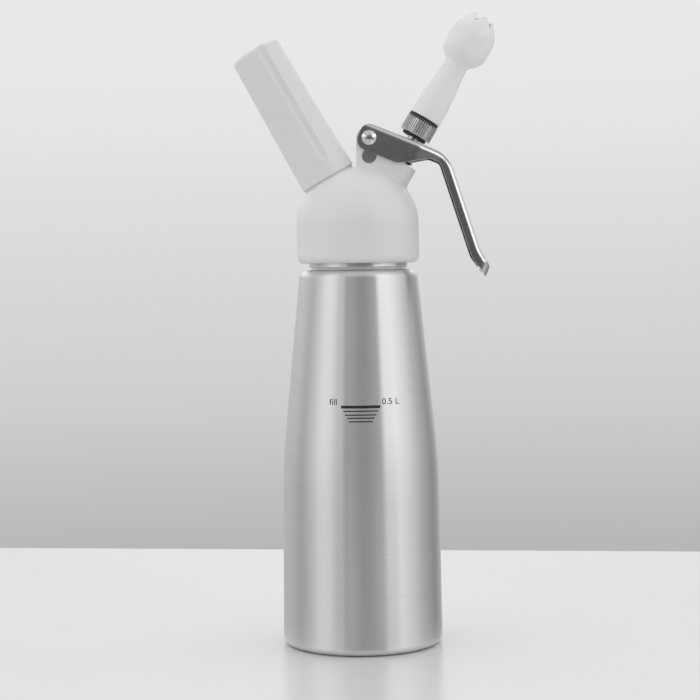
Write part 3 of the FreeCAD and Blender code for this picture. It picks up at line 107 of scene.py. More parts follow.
@dataclass(frozen=True)
class Grain:
    """A noise field on a surface.

    Attributes:
        per_metre: Features in a metre, roughly.
        detail: Octaves of finer noise.
        stretch: Share of the scale along X, Y and Z.
        roughness: Weight of the finer octaves.
        relief: Its height in microns, and the share of it that shows.
    """

    per_metre: float
    detail: float = 2.0
    stretch: Triple = EVEN
    roughness: float = 0.5
    relief: Span = (0.0, 0.0)


# -------- node trees


class NodeTree:
    """A node tree that is put together with short calls."""

    def __init__(self, tree: bpy.types.NodeTree) -> None:
        """Takes up the tree to add nodes to."""
        self.tree = tree

    def add(self, kind: str, inputs: dict[str | int, object] | None = None, **settings: object) -> bpy.types.Node:
        """Adds a node.

        Args:
            kind: The node's type name.
            inputs: Value or linked socket for each input, by name or number.
            **settings: The node's own settings.

        Returns:
            The new node.
        """
        node = self.tree.nodes.new(kind)
        for key, value in settings.items():
            setattr(node, key, value)
        for key, value in (inputs or {}).items():
            self.feed(node.inputs[key], value)
        return node

    def feed(self, socket: Socket, value: object) -> None:
        """Links or sets one input.

        Args:
            socket: The input.
            value: A socket to link from, or a plain value.
        """
        if isinstance(value, Socket):
            self.tree.links.new(value, socket)
        else:
            socket.default_value = value

    def maths(self, operation: str, *values: object) -> Socket:
        """Works out one number by a Math node, from its inputs in order, and gives its socket."""
        return self.add("ShaderNodeMath", dict(enumerate(values)), operation=operation).outputs[0]

    def vector(self, operation: str, *values: object) -> bpy.types.Node:
        """Works out a Vector or a Value by a Vector Math node, from its inputs in order, and gives the node."""
        return self.add("ShaderNodeVectorMath", dict(enumerate(values)), operation=operation)

    def total(self, *values: object) -> Socket:
        """Adds numbers up, from left to right."""
        whole, *rest = values
        for value in rest:
            whole = self.maths("ADD", whole, value)
        return whole

    def ramped(self, value: Socket, start: object, end: object, low: object, high: object) -> Socket:
        """Maps a value from one range to another, held at both ends, and gives its socket."""
        return self.add("ShaderNodeMapRange", {"Value": value, "From Min": start, "From Max": end, "To Min": low,
                                               "To Max": high}).outputs["Result"]


class ShaderTree(NodeTree):
    """A tree that makes light or colour."""

    def between(self, share: Socket, values: Span, ends: Span = NOISE_SPAN, middle: float = 0.0) -> Socket:
        """Spreads a field, which has two ends, between two values counted from a middle one."""
        return self.ramped(share, *ends, middle + values[0], middle + values[1])

    def ramp(self, share: Socket, stops: Iterable[tuple[float, Triple]]) -> Socket:
        """Adds a colour ramp.

        Args:
            share: The value that it is read at, from 0 to 1.
            stops: Places from 0 to 1 with their colours.

        Returns:
            The colour's socket.
        """
        node = self.add("ShaderNodeValToRGB", {"Fac": share})
        elements = node.color_ramp.elements
        elements.remove(elements[-1])
        (elements[0].position, first), *rest = stops
        elements[0].color = (*first, 1.0)
        for place, colour in rest:
            elements.new(place).color = (*colour, 1.0)
        return node.outputs["Color"]

    def shaded(self, share: Socket, colour: Triple, shades: Span, ends: Span = NOISE_SPAN) -> Socket:
        """Multiplies a colour by one shade at a field's lower end and by another at its upper end."""
        return self.ramp(share, [(end, tuple(part * shade for part in colour)) for end, shade in zip(ends, shades)])

    def mixed(self, share: Socket, low: object, high: object, kind: str) -> Socket:
        """Mixes two colours (RGBA) or two numbers (FLOAT) by the share of the second."""
        first, out = {"FLOAT": (2, 0), "RGBA": (6, 2)}[kind]
        inputs = {"Factor": share, first: low, first + 1: high}
        return self.add("ShaderNodeMix", inputs, data_type=kind).outputs[out]


class WorldTree(ShaderTree):
    """The world's node tree."""

    def __init__(self, name: str) -> None:
        """Starts the scene's world.

        Args:
            name: The world's name.
        """
        world = bpy.data.worlds.new(name)
        bpy.context.scene.world = world
        world.use_nodes = True
        world.cycles.sampling_method = "NONE"
        super().__init__(world.node_tree)
        self.background = self.tree.nodes["Background"]


class MaterialTree(ShaderTree):
    """A surface's node material."""

    def __init__(self, name: str) -> None:
        """Starts a material with one Principled shader.

        Args:
            name: The material's name.
        """
        self.material: Material = bpy.data.materials.new(name)
        self.material.use_nodes = True
        super().__init__(self.material.node_tree)
        self.shader: bpy.types.Node = self.tree.nodes["Principled BSDF"]
        self.place: Socket = self.add("ShaderNodeTexCoord").outputs["Object"]

    def along(self, direction: Triple) -> Socket:
        """Gives the distance in metres along a unit vector in the part's frame."""
        return self.vector("DOT_PRODUCT", self.place, direction).outputs["Value"]

    def noise(self, grain: Grain) -> Socket:
        """Gives the field that a grain makes in the part's frame, about 0.5 on average."""
        mapped = self.add("ShaderNodeMapping", {"Vector": self.place, "Scale": grain.stretch})
        return self.add("ShaderNodeTexNoise", {"Vector": mapped.outputs[0], "Scale": grain.per_metre,
                                               "Detail": grain.detail, "Roughness": grain.roughness}).outputs["Fac"]

    def bump(self, height: Socket, relief: Span, over: Socket | None = None) -> Socket:
        """Turns a height field into a surface normal.

        Args:
            height: The field, from 0 to 1.
            relief: Its full height in microns, and the share of it that shows.
            over: A coarser normal underneath.

        Returns:
            The normal's socket.
        """
        depth, strength = relief
        inputs: dict[str | int, object] = {"Height": height, "Distance": depth * MICRON, "Strength": strength}
        if over is not None:
            inputs["Normal"] = over
        return self.add("ShaderNodeBump", inputs).outputs["Normal"]

    def worn_edges(self, radius: float) -> Socket:
        """Softens the shading of sharp edges to a radius in metres."""
        return self.add("ShaderNodeBevel", {"Radius": radius}, samples=EDGE_SAMPLES).outputs["Normal"]

    def turned(self) -> Socket:
        """Gives the normal of a body turned about the upright axis, without the seam of a mesh's own.

        Returns:
            The normal's socket.
        """
        geometry = self.add("ShaderNodeNewGeometry").outputs
        flat = self.vector("MULTIPLY", geometry["Position"], (1.0, 1.0, 0.0))
        outwards = self.vector("NORMALIZE", flat.outputs[0]).outputs[0]
        share = self.vector("DOT_PRODUCT", geometry["Normal"], outwards).outputs["Value"]
        level = self.add("ShaderNodeVectorMath", {0: outwards, "Scale": share}, operation="SCALE")
        rise = self.vector("MULTIPLY", geometry["Normal"], UP)
        whole = self.vector("ADD", level.outputs[0], rise.outputs[0])
        return self.vector("NORMALIZE", whole.outputs[0]).outputs[0]

    def finish(self, **inputs: object) -> Material:
        """Feeds the shader.

        Args:
            **inputs: The Principled shader's inputs, with spaces written as underscores.

        Returns:
            The material.
        """
        for key, value in inputs.items():
            self.feed(self.shader.inputs[key.replace("_", " ")], value)
        return self.material


# -------- finishes


@dataclass(frozen=True)
class Finish:
    """What every finish has in common. A swing is added to the roughness, and shades multiply the colour."""

    name: str

    def build(self) -> Material:
        """Builds the material."""
        raise NotImplementedError


@dataclass(frozen=True)
class BrushedMetal(Finish):
    """Metal brushed on a lathe, so that its lines run round the upright axis and highlights stretch along it.

    Above a height, in metres, the brushing ends and the neck is smoother.
    """

    tone: float = 0.86
    roughness: float = 0.3
    anisotropy: float = 0.97
    grain_turn: float = 0.25
    lines: Grain = Grain(1500.0, 3.0, (0.012, 0.012, 1.0), 0.65, (1.5, 0.35))
    bands: Grain = Grain(160.0, stretch=(0.02, 0.02, 1.0), relief=(4.0, 0.35))
    clouds: Grain = Grain(38.0, 3.0, (1.0, 1.0, 0.35))
    shades: Span = (0.975, 1.01)
    line_swing: Span = (-0.015, 0.015)
    cloud_swing: Span = (-0.012, 0.014)
    polished_above: float = 0.1853
    polish_fade: float = 0.001
    polished_roughness: float = 0.23
    polished_anisotropy: float = 0.85

    def build(self) -> Material:
        """Builds the material.

        Returns:
            Brushed metal with fine lines, broader bands and a clouded sheen.
        """
        tree = MaterialTree(self.name)
        lines, bands, clouds = (tree.noise(grain) for grain in (self.lines, self.bands, self.clouds))
        height = tree.along(UP)
        edge = (self.polished_above, self.polished_above + self.polish_fade)
        base = tree.between(height, (self.roughness, self.polished_roughness), edge)
        rough = tree.total(base, tree.between(lines, self.line_swing), tree.between(clouds, self.cloud_swing))
        brushed = tree.between(height, (self.anisotropy, self.polished_anisotropy), edge)
        normal = tree.bump(lines, self.lines.relief, tree.bump(bands, self.bands.relief, tree.turned()))
        tangent = tree.add("ShaderNodeTangent", direction_type="RADIAL", axis="Z").outputs[0]
        return tree.finish(Base_Color=tree.shaded(lines, grey(self.tone), self.shades), Metallic=1.0, Roughness=rough,
                           Anisotropic=brushed, Anisotropic_Rotation=self.grain_turn, Tangent=tangent, Normal=normal)


@dataclass(frozen=True)
class PolishedSteel(Finish):
    """Pressed or turned steel with a bright polish and fine stretched scratches."""

    tone: float
    roughness: float
    stretch: Triple
    scratches: Grain = Grain(1800.0, roughness=0.6, relief=(1.2, 0.3))
    skin: Grain = Grain(190.0, relief=(6.0, 0.25))
    shades: Span = (0.96, 1.02)
    scratch_swing: Span = (-0.03, 0.03)
    skin_swing: Span = (-0.01, 0.015)
    edge: float = 0.2

    def build(self) -> Material:
        """Builds the material.

        Returns:
            Polished metal with scratches and a slightly orange-peeled skin.
        """
        tree = MaterialTree(self.name)
        scratches = tree.noise(replace(self.scratches, stretch=self.stretch))
        skin = tree.noise(self.skin)
        rough = tree.total(tree.between(scratches, self.scratch_swing, middle=self.roughness),
                           tree.between(skin, self.skin_swing))
        normal = tree.bump(skin, self.skin.relief, tree.worn_edges(self.edge * MM))
        return tree.finish(Base_Color=tree.shaded(skin, grey(self.tone), self.shades), Metallic=1.0, Roughness=rough,
                           Normal=tree.bump(scratches, self.scratches.relief, normal))


@dataclass(frozen=True)
class TurnedMetal(Finish):
    """Metal turned on a lathe about one arm, with the fine rings that the tool leaves."""

    colour: Triple
    axis: Triple
    roughness: float
    rings_per_metre: float
    ring_relief: Span = (3.0, 0.4)
    tarnish: Grain = Grain(260.0, 4.0, roughness=0.6)
    tarnish_ends: Span = (0.35, 0.6)
    shades: Span = (0.86, 1.0)
    swing: Span = (0.06, -0.02)

    def build(self) -> Material:
        """Builds the material.

        Returns:
            Turned metal with tool rings and a little tarnish.
        """
        tree = MaterialTree(self.name)
        place = tree.maths("MULTIPLY", tree.along(self.axis), self.rings_per_metre * math.tau)
        rings = tree.between(tree.maths("SINE", place), WHOLE, (-1.0, 1.0))
        tarnish = tree.noise(self.tarnish)
        return tree.finish(Base_Color=tree.shaded(tarnish, self.colour, self.shades, self.tarnish_ends), Metallic=1.0,
                           Roughness=tree.between(tarnish, self.swing, middle=self.roughness),
                           Normal=tree.bump(rings, self.ring_relief))


@dataclass(frozen=True)
class MouldedPlastic(Finish):
    """White moulded plastic with a fine even grain, soft flow clouds and a slightly deep surface."""

    tone: float = 0.84
    roughness: float = 0.29
    grain: Grain = Grain(2600.0, relief=(4.0, 0.3))
    clouds: Grain = Grain(32.0, 3.0, (1.0, 1.0, 0.6), relief=(30.0, 0.2))
    scuffs: Grain = Grain(420.0, 3.0, roughness=0.6)
    shades: Span = (0.972, 1.012)
    scuff_swing: Span = (-0.012, 0.015)
    grain_swing: Span = (-0.015, 0.015)
    edge: float = 0.4
    depth: float = 0.12
    depth_radius: Triple = (0.0016, 0.0014, 0.0012)

    def build(self) -> Material:
        """Builds the material.

        Returns:
            Plastic with grain, flow clouds and small scuffs.
        """
        tree = MaterialTree(self.name)
        grain, clouds, scuffs = (tree.noise(each) for each in (self.grain, self.clouds, self.scuffs))
        rough = tree.total(tree.between(scuffs, self.scuff_swing, middle=self.roughness),
                           tree.between(grain, self.grain_swing))
        normal = tree.bump(clouds, self.clouds.relief, tree.worn_edges(self.edge * MM))
        return tree.finish(Base_Color=tree.shaded(clouds, grey(self.tone), self.shades), Roughness=rough,
                           Normal=tree.bump(grain, self.grain.relief, normal), Subsurface_Weight=self.depth,
                           Subsurface_Radius=self.depth_radius, Subsurface_Scale=1.0, Specular_IOR_Level=0.45)


@dataclass(frozen=True)
class Rubber(Finish):
    """Dark moulded rubber with a dusty, slightly pitted skin."""

    tone: float = 0.022
    roughness: float = 0.55
    bloom: Grain = Grain(300.0, 3.0)
    pits: Grain = Grain(3500.0, 1.0, relief=(15.0, 0.4))
    shades: Span = (0.7, 1.7)
    swing: Span = (-0.06, 0.1)

    def build(self) -> Material:
        """Builds the material.

        Returns:
            Rubber with bloom and fine pits.
        """
        tree = MaterialTree(self.name)
        bloom = tree.noise(self.bloom)
        return tree.finish(Base_Color=tree.shaded(bloom, grey(self.tone), self.shades),
                           Roughness=tree.between(bloom, self.swing, middle=self.roughness),
                           Normal=tree.bump(tree.noise(self.pits), self.pits.relief))


@dataclass(frozen=True)
class PrintedInk(Finish):
    """Screen-printed ink: dark, dull and a little thin in places."""

    tone: float = 0.012
    roughness: Span = (0.42, 0.6)
    screen: Grain = Grain(5200.0, 1.0, relief=(4.0, 0.4))
    thin: Grain = Grain(800.0)
    shades: Span = (0.7, 2.4)

    def build(self) -> Material:
        """Builds the material.

        Returns:
            Ink with a faint screen grain.
        """
        tree = MaterialTree(self.name)
        screen = tree.noise(self.screen)
        return tree.finish(Base_Color=tree.shaded(tree.noise(self.thin), grey(self.tone), self.shades),
                           Roughness=tree.between(screen, self.roughness),
                           Normal=tree.bump(screen, self.screen.relief))


@dataclass(frozen=True)
class TableTop(Finish):
    """The smooth pale surface that the dispenser stands on, which metal mirrors only near the bottle's foot."""

    tone: float = 0.745
    roughness: float = 0.24
    mottle: Grain = Grain(9.0, 3.0)
    grain: Grain = Grain(900.0, relief=(4.0, 0.2))
    shades: Span = (0.985, 1.01)
    swing: Span = (-0.02, 0.03)
    mirrored: float = 0.04
    foot: Span = (0.046, 0.062)

    def build(self) -> Material:
        """Builds the material.

        Returns:
            A pale lacquered surface with a faint mottle, clear to mirrored rays away from the foot.
        """
        tree = MaterialTree(self.name)
        grain = tree.noise(self.grain)
        tree.finish(Base_Color=tree.shaded(tree.noise(self.mottle), grey(self.tone), self.shades),
                    Roughness=tree.between(grain, self.swing, middle=self.roughness),
                    Normal=tree.bump(grain, self.grain.relief), Specular_IOR_Level=0.6)
        distance = tree.vector("LENGTH", tree.place).outputs["Value"]
        away = tree.between(distance, (0.0, 1.0 - self.mirrored), self.foot)
        mirrored = tree.add("ShaderNodeLightPath").outputs["Is Glossy Ray"]
        clear = tree.add("ShaderNodeBsdfTransparent").outputs[0]
        both = tree.add("ShaderNodeMixShader", {0: tree.maths("MULTIPLY", mirrored, away),
                                                1: tree.shader.outputs[0], 2: clear})
        tree.feed(tree.tree.nodes["Material Output"].inputs["Surface"], both.outputs[0])
        return tree.material


# -------- places and meshes


@dataclass(frozen=True)
class Arm:
    """A turning axis of the part, from a point on the upright axis outwards."""

    start: Triple
    direction: Triple

    @classmethod
    def tilted(cls, height: float, degrees: float) -> "Arm":
        """Makes an arm that leaves the upright axis at a height, tilted towards +X."""
        tilt = math.radians(degrees)
        return cls((0.0, 0.0, height), (math.sin(tilt), 0.0, math.cos(tilt)))

    def point(self, station: float) -> Vector:
        """Gives the point, in metres, at a station along the arm in millimetres."""
        return (Vector(self.start) + Vector(self.direction) * station) * MM

    def matrix(self, station: float) -> Matrix:
        """Gives the move, in metres, that stands a mesh made along +Z on a station of the arm."""
        turn = Vector(UP).rotation_difference(Vector(self.direction))
        return Matrix.Translation(self.point(station)) @ turn.to_matrix().to_4x4()


UPRIGHT = Arm((0.0, 0.0, 0.0), UP)


def new_piece(name: str, mesh: bpy.types.Mesh, body: Body) -> Piece:
    """Makes a mesh a piece of the part.

    Args:
        name: The piece's name.
        mesh: Its mesh, already in place.
        body: The body that it rides on.

    Returns:
        The piece.
    """
    mesh.name = name
    piece = bpy.data.objects.new(name, mesh)
    bpy.context.scene.collection.objects.link(piece)
    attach(piece, body.value)
    return piece


def dress(nodes: Iterable[str], material: Material) -> None:
    """Gives nodes of the frame, by name, a finish."""
    for name in nodes:
        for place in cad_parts[name].material_slots:
            place.material = material


class GeometryTree(NodeTree):
    """A Geometry Nodes tree with named sizes, run once to make a plain mesh."""

    def __init__(self, name: str, sizes: Sequence[str]) -> None:
        """Starts a tree.

        Args:
            name: The tree's name.
            sizes: Names of its number inputs, in metres or as counts.
        """
        super().__init__(bpy.data.node_groups.new(name, "GeometryNodeTree"))
        face = self.tree.interface
        for size in sizes:
            face.new_socket(size, in_out="INPUT", socket_type="NodeSocketFloat")
        face.new_socket("Material", in_out="INPUT", socket_type="NodeSocketMaterial")
        face.new_socket("Geometry", in_out="OUTPUT", socket_type="NodeSocketGeometry")
        self.inputs = self.add("NodeGroupInput").outputs
        self.output = self.add("NodeGroupOutput")

    def spiral(self, steps: int, height: object) -> Socket:
        """Winds a spiral as wide as Radius, with as many turns as Turns and a number of steps in each."""
        radius = self.inputs["Radius"]
        return self.add("GeometryNodeCurveSpiral", {
            "Resolution": steps, "Rotations": self.inputs["Turns"], "Start Radius": radius, "End Radius": radius,
            "Height": height}).outputs[0]

    def trapezoid(self, root: object, crest: object, turn: float) -> Socket:
        """Draws a ridge's section, as high as Depth, and turns it in its plane by an angle in radians."""
        sizes = {"Height": self.inputs["Depth"], "Bottom Width": root, "Top Width": crest, "Offset": 0.0}
        section = self.add("GeometryNodeCurvePrimitiveQuadrilateral", sizes, mode="TRAPEZOID")
        return self.add("GeometryNodeTransform", {"Geometry": section.outputs[0],
                                                  "Rotation": (0.0, 0.0, turn)}).outputs[0]

    def tapered(self, span: float, end: float) -> Socket:
        """Gives a ridge's scale along its path: the end scale at both ends, and whole after a span's share."""
        share = self.add("GeometryNodeSplineParameter").outputs["Factor"]
        return self.maths("MINIMUM", self.ramped(share, 0.0, span, end, 1.0),
                          self.ramped(share, 1.0 - span, 1.0, 1.0, end))

    def swept(self, path: Socket, section: Socket, scale: object = 1.0) -> Socket:
        """Sweeps a section along a path, scaled on the way, with both ends closed."""
        return self.add("GeometryNodeCurveToMesh", {"Curve": path, "Profile Curve": section, "Scale": scale,
                                                    "Fill Caps": True}).outputs[0]

    def close(self, geometry: Socket) -> None:
        """Ends the tree in Realize Instances and Set Material.

        Args:
            geometry: What the tree makes.
        """
        real = self.add("GeometryNodeRealizeInstances", {"Geometry": geometry})
        done = self.add("GeometryNodeSetMaterial", {"Geometry": real.outputs[0], "Material": self.inputs["Material"]})
        self.feed(self.output.inputs["Geometry"], done.outputs[0])

    def mesh(self, sizes: dict[str, float], material: Material, place: Matrix) -> bpy.types.Mesh:
        """Runs the tree.

        Args:
            sizes: Value for each named input.
            material: The finish of what it makes.
            place: Where the mesh goes.

        Returns:
            The plain mesh, in place.
        """
        carrier = bpy.data.objects.new("carrier", bpy.data.meshes.new("carrier"))
        bpy.context.scene.collection.objects.link(carrier)
        modifier = carrier.modifiers.new("make", "NODES")
        modifier.node_group = self.tree
        for item in self.tree.interface.items_tree:
            if item.in_out == "INPUT":
                modifier[item.identifier] = material if item.name == "Material" else float(sizes[item.name])
        graph = bpy.context.evaluated_depsgraph_get()
        made = bpy.data.meshes.new_from_object(carrier.evaluated_get(graph), depsgraph=graph)
        carrier.modifiers.remove(modifier)
        bpy.data.objects.remove(carrier)
        made.transform(place)
        return made


class ThreadTree(GeometryTree):
    """A helical ridge: a trapezoid swept along a spiral, tapered away at both ends."""

    STEPS = 72
    TAPER = (0.08, 0.15)

    def __init__(self) -> None:
        """Builds the tree."""
        super().__init__("thread_ridge", ("Radius", "Rise", "Turns", "Depth", "Root", "Crest"))
        upright = self.add("GeometryNodeSetCurveNormal", {"Curve": self.spiral(self.STEPS, self.inputs["Rise"])},
                           mode="Z_UP")
        section = self.trapezoid(self.inputs["Root"], self.inputs["Crest"], math.pi / 2)
        self.close(self.swept(upright.outputs[0], section, self.tapered(*self.TAPER)))


class SpringTree(GeometryTree):
    """A compression spring with closed end turns."""

    STEPS = 48
    SIDES = 12
    CLOSED_WIRES = 3.0

    def __init__(self) -> None:
        """Builds the tree."""
        super().__init__("spring_coil", ("Radius", "Length", "Turns", "Wire"))
        length, turns, wire = (self.inputs[size] for size in ("Length", "Turns", "Wire"))
        spiral = self.spiral(self.STEPS, 0.0)
        turn = self.maths("MULTIPLY", self.add("GeometryNodeSplineParameter").outputs["Factor"], turns)
        last = self.maths("SUBTRACT", turns, 1.0)
        open_rise = self.maths("SUBTRACT", length, self.maths("MULTIPLY", wire, self.CLOSED_WIRES))
        half = self.maths("MULTIPLY", wire, 0.5)
        rise = self.total(self.ramped(turn, 0.0, 1.0, 0.0, wire), self.ramped(turn, 1.0, last, 0.0, open_rise),
                          self.ramped(turn, last, turns, 0.0, wire), half)
        lift = self.add("ShaderNodeCombineXYZ", {"Z": rise})
        raised = self.add("GeometryNodeSetPosition", {"Geometry": spiral, "Offset": lift.outputs[0]})
        section = self.add("GeometryNodeCurvePrimitiveCircle", {"Resolution": self.SIDES, "Radius": half})
        coil = self.swept(raised.outputs[0], section.outputs[0])
        self.close(self.add("GeometryNodeSetShadeSmooth", {"Geometry": coil}).outputs[0])


class KnurlTree(GeometryTree):
    """Straight knurls: one ridge set round a circle as often as asked."""

    STATIONS = 21
    TAPER = (0.05, 0.4)
    ROOT_SHARE = 0.55
    CREST_SHARE = 0.06

    def __init__(self) -> None:
        """Builds the tree."""
        super().__init__("straight_knurl", ("Radius", "Length", "Count", "Depth"))
        radius, count = self.inputs["Radius"], self.inputs["Count"]
        ring = self.add("GeometryNodeMeshCircle", {"Vertices": count, "Radius": radius})
        pitch = self.maths("DIVIDE", self.maths("MULTIPLY", radius, math.tau), count)
        end = self.add("ShaderNodeCombineXYZ", {"Z": self.inputs["Length"]})
        line = self.add("GeometryNodeCurvePrimitiveLine", {"Start": (0.0, 0.0, 0.0), "End": end.outputs[0]})
        fine = self.add("GeometryNodeResampleCurve", {"Curve": line.outputs[0], "Count": self.STATIONS})
        section = self.trapezoid(self.maths("MULTIPLY", pitch, self.ROOT_SHARE),
                                 self.maths("MULTIPLY", pitch, self.CREST_SHARE), -math.pi / 2)
        ridge = self.swept(fine.outputs[0], section, self.tapered(*self.TAPER))
        place = self.add("GeometryNodeInputPosition").outputs[0]
        outward = self.add("FunctionNodeAlignRotationToVector", {"Vector": place}, axis="X", pivot_axis="Z")
        copies = self.add("GeometryNodeInstanceOnPoints", {"Points": ring.outputs[0], "Instance": ridge,
                                                           "Rotation": outward.outputs[0]})
        self.close(copies.outputs[0])


# -------- the part's sub-assemblies


@dataclass(frozen=True)
class Ridge:
    """A thread's ridge on a round wall, in millimetres.

    Attributes:
        wall: Radius of the wall.
        depth: How far the ridge stands out.
        root: Its width at the wall.
        crest: Its width at the top.
        start: Where on the arm it starts.
        rise: How far it climbs.
        turns: How often it goes round.
        side: 1 on a stud, -1 in a bore.
        sink: How far its foot is sunk into the wall.
    """

    wall: float
    depth: float
    root: float
    crest: float
    start: float
    rise: float
    turns: float
    side: int = 1
    sink: float = 0.02


@dataclass
class Workshop:
    """The trees and finishes that the sub-assemblies share."""

    thread: ThreadTree = field(default_factory=ThreadTree)
    spring: SpringTree = field(default_factory=SpringTree)
    knurl: KnurlTree = field(default_factory=KnurlTree)
    plastic: Material = field(default_factory=MouldedPlastic("white_moulded_plastic").build)
    rubber: Material = field(default_factory=Rubber("black_seal_rubber").build)
    stainless: Material = field(
        default_factory=PolishedSteel("stainless_small_parts", tone=0.7, roughness=0.18, stretch=(0.05, 1, 1)).build)

    def threaded(self, name: str, ridge: Ridge, arm: Arm, material: Material, body: Body, slot: Slot) -> Piece:
        """Makes a thread a piece of the part.

        Args:
            name: The piece's name.
            ridge: The thread's sizes.
            arm: The arm that it winds round.
            material: Its finish.
            body: The body that it rides on.
            slot: Not used; the material slot that the thread belongs with.

        Returns:
            The piece.
        """
        radius = ridge.wall + ridge.side * (ridge.depth / 2 - ridge.sink)
        mesh = self.thread.mesh({"Radius": radius * MM, "Rise": ridge.rise * MM, "Turns": ridge.turns,
                                 "Depth": ridge.depth * MM, "Root": ridge.root * MM, "Crest": ridge.crest * MM},
                                material, arm.matrix(ridge.start))
        return new_piece(name, mesh, body)


@dataclass
class Bottle:
    """The brushed bottle with its neck thread and printed fill mark."""

    shop: Workshop
    thread: Ridge = Ridge(wall=23.7, depth=0.6, root=1.7, crest=0.9, start=192.2, rise=7.2, turns=2.4, sink=0.0)
    mark_height: float = 120.0
    mark_half_width: float = 9.4
    mark_thickness: float = 1.35
    lines: tuple[Span, ...] = ((2.0, 8.4), (3.85, 7.5), (5.35, 6.5), (7.0, 5.7))
    line_thickness: float = 0.55
    bar_slices: int = 24
    letter_size: float = 4.25
    letter_rise: float = 1.0
    word_gap: float = 1.7
    volume_gap: float = 0.8
    ink_lift: float = 0.03

    def wrapped(self, name: str, outlines: Sequence[Sequence[Span]], ink: Material) -> Piece:
        """Lays flat outlines on the bottle's front as thin raised ink.

        Args:
            name: The piece's name.
            outlines: Closed outlines of x and z, in millimetres.
            ink: Their finish.

        Returns:
            The print.
        """
        points: list[Triple] = []
        faces: list[list[int]] = []
        for outline in outlines:
            start = len(points)
            points += [(x * MM, 0.0, z * MM) for x, z in outline]
            faces.append(list(range(start, len(points))))
        mesh = bpy.data.meshes.new(name)
        mesh.from_pydata(points, [], faces)
        mesh.materials.append(ink)
        self.press_on(mesh)
        return new_piece(name, mesh, Body.BOTTLE)

    def press_on(self, mesh: bpy.types.Mesh) -> None:
        """Moves a flat mesh back onto the bottle's front, a film's thickness proud of it.

        Args:
            mesh: The mesh in the plane of X and Z.
        """
        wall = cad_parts["bottle"].data
        tree = BVHTree.FromPolygons([v.co for v in wall.vertices], [p.vertices for p in wall.polygons])
        for vertex in mesh.vertices:
            hit, normal, _, _ = tree.ray_cast(Vector((vertex.co.x, -1.0, vertex.co.z)), Vector((0, 1, 0)))
            vertex.co = hit + normal * self.ink_lift * MM
        mesh.update()

    def bar(self, half: float, height: float, thickness: float) -> list[list[Span]]:
        """Cuts a bar into short upright slices, so that it can follow the wall.

        Args:
            half: Half its width.
            height: Its middle height.
            thickness: Its thickness.

        Returns:
            The slices' outlines.
        """
        across = [half * (2 * step / self.bar_slices - 1) for step in range(self.bar_slices + 1)]
        low, high = height - thickness / 2, height + thickness / 2
        return [[(a, low), (b, low), (b, high), (a, high)] for a, b in zip(across, across[1:])]

    def lettering(self, name: str, text: str, x: float, align: str, ink: Material) -> Piece:
        """Makes a short word beside the mark.

        Args:
            name: The piece's name.
            text: What it says.
            x: Where its near edge is.
            align: LEFT to start there, RIGHT to end there.
            ink: Its finish.

        Returns:
            The word.
        """
        curve = bpy.data.curves.new(name, "FONT")
        curve.body, curve.size, curve.align_x = text, self.letter_size * MM, align
        carrier = bpy.data.objects.new(name + "_carrier", curve)
        bpy.context.scene.collection.objects.link(carrier)
        bpy.context.view_layer.update()
        mesh = bpy.data.meshes.new_from_object(carrier.evaluated_get(bpy.context.evaluated_depsgraph_get()))
        bpy.data.objects.remove(carrier)
        bottom = (self.mark_height + self.letter_rise) * MM
        mesh.transform(Matrix.Translation((x * MM, 0.0, bottom)) @ Matrix.Rotation(math.pi / 2, 4, "X"))
        mesh.materials.append(ink)
        self.press_on(mesh)
        return new_piece(name, mesh, Body.BOTTLE)

    def build(self) -> Pieces:
        """Builds and dresses the sub-assembly.

        Returns:
            The new pieces.
        """
        metal = BrushedMetal("brushed_bottle_metal").build()
        ink = PrintedInk("fill_mark_ink").build()
        dress(["bottle"], metal)
        slices = self.bar(self.mark_half_width, self.mark_height, self.mark_thickness)
        for drop, half in self.lines:
            slices += self.bar(half, self.mark_height - drop, self.line_thickness)
        thread = self.shop.threaded("neck_thread", self.thread, UPRIGHT, metal, Body.BOTTLE, Slot.BOTTLE)
        return [thread, self.wrapped("fill_mark", slices, ink),
                self.lettering("fill_word", "fill", -self.mark_half_width - self.word_gap, "RIGHT", ink),
                self.lettering("fill_volume", "0.5 L", self.mark_half_width + self.volume_gap, "LEFT", ink)]


@dataclass
class Head:
    """The moulded head with its metal thread ring and gasket."""

    shop: Workshop
    thread: Ridge = Ridge(wall=24.7, depth=0.24, root=1.5, crest=0.8, start=192.9, rise=6.0, turns=2.0, side=-1)

    def build(self) -> Pieces:
        """Builds and dresses the sub-assembly.

        Returns:
            The new pieces.
        """
        ring = TurnedMetal("thread_ring_metal", (0.6, 0.6, 0.61), UP, roughness=0.28, rings_per_metre=1400.0).build()
        dress(["head_shell"], self.shop.plastic)
        dress(["head_thread_ring"], ring)
        dress(["head_gasket"], self.shop.rubber)
        return [self.shop.threaded("ring_thread", self.thread, UPRIGHT, ring, Body.HEAD, Slot.THREAD_RING)]


